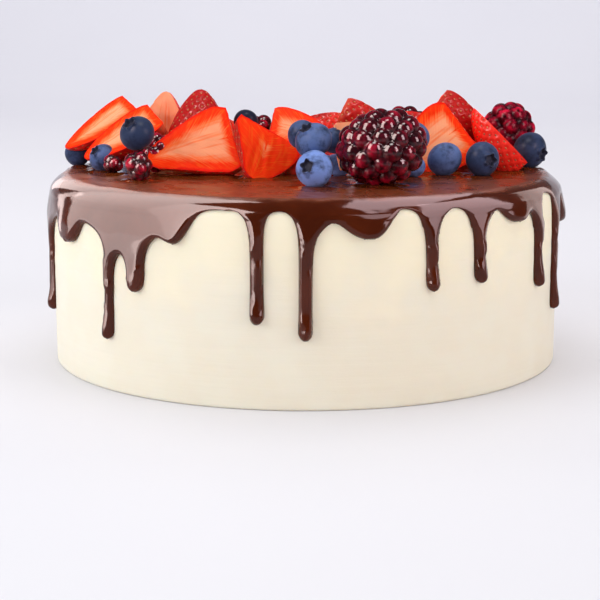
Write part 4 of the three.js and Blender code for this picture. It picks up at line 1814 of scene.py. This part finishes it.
    def seed_places(self) -> list[tuple[np.ndarray, np.ndarray, np.ndarray]]:
        """Where the seeds sit, in a spiral over the skin.

        Returns:
            The place, way out and way up of each.
        """
        line, numbers = self.line, np.arange(len(self.line))
        steps = np.linalg.norm(np.diff(line, axis=0), axis=1)
        bands = np.concatenate([[0], np.cumsum(steps * (line[1:, 0] + line[:-1, 0]) * math.pi)])
        count = int(bands[-1] / self.berry.seed_gap ** 2 / self.berry.seed_packing)
        seeds = []
        for i in range(2, count - 2):
            row = np.interp((i + 0.5) / count * bands[-1], bands, numbers)
            turn = (i * GOLDEN_TURN) % (2 * math.pi)
            if not self.berry.seed_edge < turn < self.berry.cut.value - self.berry.seed_edge:
                continue
            rows = (row, max(row - 0.5, 0), min(row + 0.5, len(line) - 1))
            radius, height = (np.interp(rows, numbers, line[:, k]) for k in (0, 1))
            here, below, above = self.at(turn, radius, height)
            beside = self.at(turn + 0.02, radius[0], height[0])[0]
            upward = (above - below) / np.linalg.norm(above - below)
            outward = np.cross(beside - here, upward)
            outward /= np.linalg.norm(outward)
            seeds.append((here, outward, upward))
        return seeds

    def press(self, skin: np.ndarray, seeds: list) -> np.ndarray:
        """Presses a pit into the skin round each seed.

        Args:
            skin: the skin's points.
            seeds: where the seeds are.

        Returns:
            The pressed points.
        """
        tree = KDTree(len(seeds))
        for i, (place, _, _) in enumerate(seeds):
            tree.insert(place, i)
        tree.balance()
        pressed = skin.copy()
        for i, point in enumerate(skin):
            _, which, away = tree.find(point)
            pressed[i] -= seeds[which][1] * self.berry.pit * math.exp(-((away / self.berry.pit_width) ** 2))
        return pressed

    def add_seed(self, place: np.ndarray, outward: np.ndarray, upward: np.ndarray) -> None:
        """Adds one seed: a small pointed bead, half sunk in its pit.

        Args:
            place: its place on the skin.
            outward: the way out of the fruit.
            upward: the way along the skin to the hull.
        """
        beside = np.cross(upward, outward)
        sunk, thick, sides = 0.26, 0.22, 6
        upper_end, lower_end, rings = 0.6, 0.5, ((0.26, 0.24), (-0.16, 0.32))
        points = [place - outward * sunk + upward * upper_end, place - outward * sunk - upward * lower_end]
        for lift, wide in rings:
            for k in range(sides):
                turn = 2 * math.pi * k / sides
                flat = beside * math.cos(turn) * wide + outward * (math.sin(turn) * thick - sunk)
                points.append(place + upward * lift + flat)
        top = self.add(np.array(points), 0, 0, 0)
        bottom, upper, lower = top + 1, top + 2, top + 2 + sides
        for k in range(sides):
            j = (k + 1) % sides
            self.join(Part.SEED, [(top, upper + j, upper + k),
                                  (upper + k, upper + j, lower + j, lower + k),
                                  (bottom, lower + k, lower + j)])


# Place, radius, crown's direction and bloom of each blueberry.
BLUEBERRIES = [
    ((-98.6, 14.5, 5.4), 5.4, (0.3, 0.9, 0.3), 0.2),
    ((-84.8, -8, 6.1), 5.9, (-0.54, -0.59, 0.6), 0.4),
    ((-67.2, -36, 18.4), 7.2, (-0.44, -0.57, 0.69), 0.08),
    ((-24.5, -15, 21.6), 5.1, (0.2, 0.9, 0.4), 0.0),
    ((-1.5, -42, 18.4), 5.9, (-0.6, 0.7, 0.3), 0.25),
    ((2.9, -56.3, 17.4), 7.4, (-0.45, -0.45, 0.77), 0.42),
    ((3.1, -66, 7.2), 7.2, (-0.44, -0.86, 0.26), 0.95),
    ((11.5, -36, 15.5), 5.6, (0.1, 0.7, 0.7), 0.3),
    ((43.6, -36, 17), 6.1, (0.6, 0.7, 0.4), 0.35),
    ((56.5, -26, 7.1), 7.1, (-0.3, 0.8, 0.5), 0.5),
    ((71.7, -27.5, 7.2), 7.1, (0.47, -0.88, 0.03), 0.17),
    ((95.6, 5, 7.8), 7.8, (0.72, -0.67, -0.18), 0.1),
    ((4.6, -50), 6.4, (0.5, 0.5, 0.6), 0.7),
    ((-89, 20), 6.2, (-0.7, 0.6, 0.3), 0.7),
    ((43, -33), 5.2, (0.2, 0.4, 0.9), 0.7),
    ((13, -29), 5.0, (0.6, 0.1, 0.7), 0.7),
    ((76, 43), 7.0, (0.4, 0.8, 0.4), 0.9),
    ((66, 58), 6.4, (-0.5, 0.6, 0.6), 0.7),
    ((23, 82), 6.8, (0.5, 0.8, 0.2), 1.0),
    ((-12, 84), 7.2, (-0.3, 0.9, 0.3), 0.8),
    ((-27, 81), 6.2, (0.6, 0.5, 0.6), 0.9),
    ((-76, 42), 7.0, (-0.5, 0.5, 0.7), 0.8),
    ((27, 24), 6.8, (0.2, -0.3, 0.9), 0.9),
    ((-72, 25), 6.4, (0.1, 0.6, 0.8), 0.7),
]

# Place, length, width, drupelets' radius, tip's direction, redness, which sets the painted glow, and gloss
# of each bramble.
BRAMBLES = [
    ((29.5, -57, 14.8), 37, 30, 4.1, (-0.9, -0.3, -0.2), 0.35, 0.42),
    ((88.6, 24, 14.9), 26, 24, 3.8, (0.2, 0.7, 0.65), 0.85, 0.08),
    ((-79.4, -16.5, 4.2), 9, 8, 2.6, (1, 0, 0.1), 1.0),
    ((-66.4, -42, 6.1), 13, 11.4, 3, (0.2, -0.3, -0.9), 1.0, 0.42),
    ((-60.8, -19.5, 9), 17, 15, 2.9, (0.3, -0.4, 0.85), 0.6),
    ((-19.5, -1.5, 13.6), 20, 17, 3, (0.1, -0.2, 0.95)),
    ((31, -14), 23, 17, 3, (0.9, 0.3, 0.1)),
    ((46, 67), 30, 23, 3.7, (-0.8, 0.6, 0)),
    ((-66, 55), 25, 20, 3.2, (0.7, 0.6, 0.1)),
]

DOWN = (0, 0, -1)

# Place, length, width, tip's and cut face's direction, cut, habit and tone, partly painted light and shade,
# of each strawberry piece.
STRAWBERRIES = [
    ((3, -11), 26, 24, (1, 0.2, 0), DOWN),
    ((60, 15), 29, 23, (0.9, 0.3, 0), DOWN),
    ((-89.3, 13, 18), 34, 22, (-0.8, -0.24, -0.56), (-0.5, -0.5, 0.7)),
    ((-77.8, -4, 14.7), 35, 25, (-0.84, -0.19, -0.51), (-0.42, -0.48, 0.77)),
    ((-60.4, 12, 16.9), 31, 24, (0.05, 0.1, 1), (-0.45, -0.85, 0.1), Cut.HALF, Habit.PLUMP, 2.5),
    ((-45.9, 4, 17.5), 33, 26, (0.12, 0.18, 0.98), (-0.3, 0.94, -0.18), Cut.HALF, Habit.PLUMP, -1.0),
    ((-46.5, -27, 11.7), 36, 29, (-0.96, -0.05, -0.26), (0, -0.88, 0.47), Cut.HALF, Habit.CONICAL),
    ((-18, -33, 9.9), 25, 29, (-0.24, -0.65, -0.72), (0.5, -0.72, 0.48), Cut.HALF, Habit.CONICAL, -2.0),
    ((-1.4, -12, 17.6), 26, 20, (0.97, 0, -0.2), (0.05, -0.75, 0.66)),
    ((27, -13, 20), 26, 20, (0.9, -0.1, -0.42), (0.15, 0.75, 0.65), Cut.HALF, Habit.PLUMP, -0.6),
    ((13, -40, 13.4), 19, 18, (0.09, -0.19, -0.98), (0.1, -0.95, 0.28), Cut.QUARTER, Habit.PLUMP, 2.5),
    ((53.4, -12, 11.7), 28, 29, (-0.82, -0.11, -0.57), (0, -0.91, 0.43)),
    ((67.5, 12, 18.9), 28, 22, (0.8, -0.1, -0.6), (0.3, 0.85, 0.45), Cut.HALF, Habit.PLUMP, -1.0),
    ((81.3, -4, 15.1), 31, 23, (-0.69, 0.04, 0.72), (0.72, 0.05, 0.69), Cut.HALF, Habit.PLUMP, 1.0),
    ((57, 42), 31, 25, (0.7, -0.6, 0.1), (0.45, 0.6, 0.62)),
    ((6, 72), 32, 24, (-0.95, 0.1, -0.1), (0, 0.7, 0.7)),
    ((-41, 62), 29, 24, (0.8, 0.5, -0.1), (-0.4, 0.6, 0.65)),
    ((28, 47), 30, 24, (0.3, 0.9, 0), DOWN),
    ((2, 46), 30, 25, (-0.9, 0.3, 0), DOWN),
    ((-34, 40), 31, 26, (-0.6, 0.7, 0), DOWN),
    ((3, 19), 28, 23, (0.8, -0.5, 0), DOWN),
    ((-45, 24), 27, 20, (-0.9, 0.2, 0.1), (0.1, 0.7, 0.7), Cut.QUARTER),
]


@dataclass
class Heap:
    """The fruit on top of the cake."""

    pieces: list = field(default_factory=list)

    def build(self) -> list[bpy.types.Object]:
        """Makes every fruit.

        Returns:
            The pieces.
        """
        blue = BlueberryFinish().material()
        for i, (at, radius, crown, bloom) in enumerate(BLUEBERRIES, 1):
            berry = Blueberry(f"blueberry_{i:02d}", at, radius, crown, bloom)
            self.add(berry, berry.build(blue, i), Slot.BLUEBERRY)
        dark: dict[float, bpy.types.Material] = {}
        for i, (at, *rest) in enumerate(BRAMBLES, 1):
            bramble = Bramble(f"bramble_{i:02d}", at, *rest)
            if bramble.gloss not in dark:
                dark[bramble.gloss] = BrambleFinish(gloss=bramble.gloss).material()
            self.add(bramble, bramble.build(dark[bramble.gloss], 100 + i), Slot.BRAMBLE)
        finishes = [SkinFinish().material(), FleshFinish().material(), SeedFinish().material()]
        for i, (at, *rest) in enumerate(STRAWBERRIES, 1):
            half = Strawberry(f"strawberry_{i:02d}", at, *rest)
            self.add(half, half.build(finishes, 200 + i), Slot.STRAWBERRY)
        return self.pieces

    def add(self, fruit: Fruit, made: bpy.types.Object, slot: Slot) -> None:
        """Takes a finished fruit onto the heap."""
        settle(made, slot, fruit.node)
        self.pieces.append(made)


class Group(Enum):
    """The pieces that a lamp can be kept to."""

    GLAZE = "mirrors_panels"
    BRAMBLES = "mirrors_large_windows"
    SMALL_FRUIT = "mirrors_small_windows"


WHITE, COOL, SKY = (1.0, 0.985, 0.965), (0.95, 0.95, 1.0), (0.88, 0.965, 1.0)
ROSY, MAUVE = (1.0, 0.8, 0.76), (1.0, 0.73, 0.77)
FRUIT_MIDDLE = (0, -0.05, 0.09)


@dataclass(frozen=True)
class Lamp:
    """A soft rectangular light that fills the scene, and that nothing mirrors.

    at: where it hangs. size: its width and height. glow: how bright its surface is. aim: the point that
    it faces. fade: how bright its two ends are, where it isn't even. turn: how far it is turned in its
    own plane, in degrees. shift: how far it is moved along its own width and height. mirrored: whether
    glossy surfaces mirror it, and nothing else is lit by it. seen_by: the pieces that it is kept to.
    """

    name: str
    at: Point
    size: tuple[float, float]
    glow: float
    color: Color = WHITE
    aim: Point = (0, 0, 0.05)
    fade: Optional[tuple[float, float]] = None
    turn: float = 0.0
    shift: tuple[float, float] = (0, 0)
    mirrored: bool = False
    seen_by: Optional[Group] = None

    def hang(self, groups: dict[Group, bpy.types.Collection]) -> None:
        """Adds the lamp to the scene.

        Args:
            groups: the pieces of each group.
        """
        lamp = bpy.data.lights.new(self.name, "AREA")
        lamp.shape, (lamp.size, lamp.size_y) = "RECTANGLE", self.size
        lamp.energy, lamp.color = self.glow * math.pi * self.size[0] * self.size[1], self.color
        if self.fade:
            self.fade_along(lamp)
        made = bpy.data.objects.new(self.name, lamp)
        facing = (Vector(self.aim) - Vector(self.at)).to_track_quat("-Z", "Y")
        facing = facing @ Quaternion((0, 0, 1), math.radians(self.turn))
        made.location = Vector(self.at) + facing @ Vector((*self.shift, 0))
        made.rotation_euler = facing.to_euler()
        made.visible_glossy, made.visible_diffuse = self.mirrored, not self.mirrored
        made.visible_camera = False
        if self.seen_by:
            made.light_linking.receiver_collection = groups[self.seen_by]
        bpy.context.scene.collection.objects.link(made)

    def fade_along(self, lamp: bpy.types.Light) -> None:
        """Makes a lamp's surface brighter towards one end.

        Args:
            lamp: the lamp.
        """
        lamp.use_nodes = True
        tree = lamp.node_tree
        along = tree.nodes.new("ShaderNodeNewGeometry").outputs["Parametric"]
        parts = tree.nodes.new("ShaderNodeSeparateXYZ")
        level = tree.nodes.new("ShaderNodeMapRange")
        level.inputs["To Min"].default_value, level.inputs["To Max"].default_value = self.fade
        tree.links.new(along, parts.inputs["Vector"])
        tree.links.new(parts.outputs["X"], level.inputs["Value"])
        tree.links.new(level.outputs["Result"], tree.nodes["Emission"].inputs["Strength"])


@dataclass(frozen=True)
class Panel(Lamp):
    """A large panel that the glaze alone mirrors."""

    mirrored: bool = True
    seen_by: Optional[Group] = Group.GLAZE


@dataclass(frozen=True)
class LeftPanel(Panel):
    """A panel in the plane on the left, which has the place, aim and turn of the others there."""

    at: Point = (-0.2165, -0.115, 0.2)
    size: tuple[float, float] = (0.21, 0.525)
    glow: float = 9.2
    color: Color = ROSY
    aim: Point = (0.0595, -0.115, 0.077)
    turn: float = 26.6


@dataclass(frozen=True)
class Window(Lamp):
    """A small window that the strawberries and the blueberries mirror."""

    aim: Point = FRUIT_MIDDLE
    mirrored: bool = True
    seen_by: Optional[Group] = Group.SMALL_FRUIT


@dataclass(frozen=True)
class LargeWindow(Window):
    """A large window that the brambles mirror."""

    seen_by: Optional[Group] = Group.BRAMBLES


LAMPS = [
    LeftPanel("left_panel", size=(0.21, 0.761), glow=7.8, fade=(0.6, 1.8), shift=(-0.105, 0.0055)),
    LeftPanel("front_left_panel", fade=(1.8, 3.0), shift=(0.105, -0.1125)),
    LeftPanel("back_left_panel", size=(0.35, 0.36), glow=2.8, fade=(0.5, 1.4), shift=(-0.387, 0.27)),
    Panel("far_left_panel", (-0.37, 0.26, 0.13), (0.05, 0.3), 4.0, ROSY, (-0.1, -0.04, 0.06)),
    Panel("right_panel", (0.3, -0.093, 0.2775), (0.28, 0.52), 9.6, MAUVE, (0, -0.093, 0.2775),
          fade=(1.35, 0.75), turn=-38.3, shift=(-0.025, 0)),
    Panel("right_high_panel", (0.16, 0.16, 0.446), (0.54, 0.18), 9.0, MAUVE, (0.16, 0.16, 0),
          fade=(1.2, 0.3), turn=90),
    Panel("far_right_panel", (0.3, 0.194, 0.165), (0.156, 0.375), 2.4, ROSY, (0, 0.194, 0.165),
          turn=-38.3, shift=(-0.0055, -0.0625)),
    Panel("right_front_panel", (0.18, -0.3, 0.317), (0.18, 0.15), 8.0, MAUVE, (0.05, -0.09, 0.07)),
    Panel("low_left_panel", (-0.2, -0.15, 0.02), (0.09, 0.04), 7.0, ROSY, (0, -0.12, 0.03)),
    Window("left_window", (-0.4, -0.35, 0.45), (0.2, 0.26), 30.0, ROSY),
    Window("right_window", (0.38, -0.3, 0.3), (0.1, 0.2), 24.0, MAUVE),
    Window("top_window", (0.03, -0.12, 0.6), (0.16, 0.12), 18.0, WHITE),
    LargeWindow("left_large_window", (-0.4, -0.35, 0.45), (0.34, 0.66), 24.0, ROSY),
    LargeWindow("right_large_window", (0.38, -0.3, 0.3), (0.2, 0.36), 20.0, MAUVE),
    LargeWindow("top_large_window", (0.03, -0.12, 0.6), (0.2, 0.16), 18.0, WHITE),
    Lamp("left_fill", (-1.1, -0.55, 0.45), (0.9, 0.7), 4.3, SKY),
    Lamp("far_left_fill", (-1.2, 0.3, 0.45), (0.8, 0.7), 1.6),
    Lamp("fruit_fill", (0.5, -1.0, 0.8), (0.6, 0.6), 1.9, seen_by=Group.SMALL_FRUIT),
    Lamp("front_fill", (0.15, -1.7, 0.6), (1.2, 0.8), 1.5),
    Lamp("right_fill", (1.3, -0.7, 0.55), (1.0, 0.8), 3.4),
    Lamp("top_fill", (0, 0.01, 1.3), (1.6, 1.6), 2.0, aim=(0, 0, 0)),
    Lamp("background", (0.0, 1.8, 1.5), (3.4, 1.6), 1.75, COOL, (0, 2.0, 0)),
]


@dataclass
class Studio:
    """The pale floor, the soft lights and the camera.

    The glaze mirrors large panels and the fruit its own windows, so each is lit by its own. sweep: how
    far back the floor starts to rise. sweep_end: the angle up to which it rises, round a metre's radius.
    pitch: how far the camera looks down, in degrees.
    """

    glaze: bpy.types.Object
    fruit: Sequence[bpy.types.Object]
    floor_reach: float = 4.0
    sweep: float = 1.6
    sweep_end: float = 1.2
    camera_at: Point = (-0.00226, -0.66144, 0.14681)
    pitch: float = 10.72
    lens: float = 93.84
    world: Color = (0.80, 0.79, 0.86)
    world_strength: float = 0.15

    def build(self) -> None:
        """Makes the studio."""
        self.floor()
        self.lights()
        self.camera()

    def floor(self) -> None:
        """Makes the floor, which sweeps up far behind."""
        line = [(-self.floor_reach, 0.0), (self.sweep, 0.0)]
        line += [(self.sweep + math.sin(t), 1 - math.cos(t)) for t in np.linspace(0.1, self.sweep_end, 12)]
        points = np.array([(side * self.floor_reach, y, z) for y, z in line for side in (-1, 1)]) / MM
        faces = [(2 * i, 2 * i + 1, 2 * i + 3, 2 * i + 2) for i in range(len(line) - 1)]
        made = piece("floor", points, faces, [FloorFinish().material()])

    def group(self, group: Group, pieces: Sequence[bpy.types.Object]) -> bpy.types.Collection:
        """The pieces of a group, as one collection.

        Args:
            group: which group.
            pieces: its pieces.

        Returns:
            The collection.
        """
        made = bpy.data.collections.new(group.value)
        for each in pieces:
            made.objects.link(each)
        return made

    def lights(self) -> None:
        """Adds the world's glow and the lamps."""
        brambles = [each for each in self.fruit if "bramble" in each.name]
        others = [each for each in self.fruit if "bramble" not in each.name]
        members = ((Group.GLAZE, [self.glaze]), (Group.BRAMBLES, brambles), (Group.SMALL_FRUIT, others))
        groups = {group: self.group(group, pieces) for group, pieces in members}
        world = bpy.data.worlds.new("studio")
        world.use_nodes = True
        glow = world.node_tree.nodes["Background"]
        glow.inputs["Color"].default_value = (*self.world, 1)
        glow.inputs["Strength"].default_value = self.world_strength
        bpy.context.scene.world = world
        for lamp in LAMPS:
            lamp.hang(groups)

    def camera(self) -> None:
        """Places the camera."""
        camera = bpy.data.cameras.new("camera")
        camera.lens, camera.sensor_width = self.lens, 36.0
        camera.clip_start, camera.clip_end = 0.01, 50
        made = bpy.data.objects.new("camera", camera)
        made.location = self.camera_at
        made.rotation_euler = (math.radians(90 - self.pitch), 0, 0)
        bpy.context.scene.collection.objects.link(made)
        bpy.context.scene.camera = made
        bpy.context.scene.view_settings.view_transform = "Standard"


def main() -> None:
    """Builds the cake in order."""
    logging.basicConfig(level=logging.INFO, format="%(message)s")
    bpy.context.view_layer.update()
    cream = Cream()
    settle(cream.build(), Slot.CREAM, "cream_cake")
    heap = Heap()
    heap.build()
    glaze = Glaze(cream, heap.pieces)
    coat = glaze.build()
    settle(coat, Slot.GLAZE, "glaze")
    Studio(coat, heap.pieces).build()


if __name__ == "__main__":
    main()
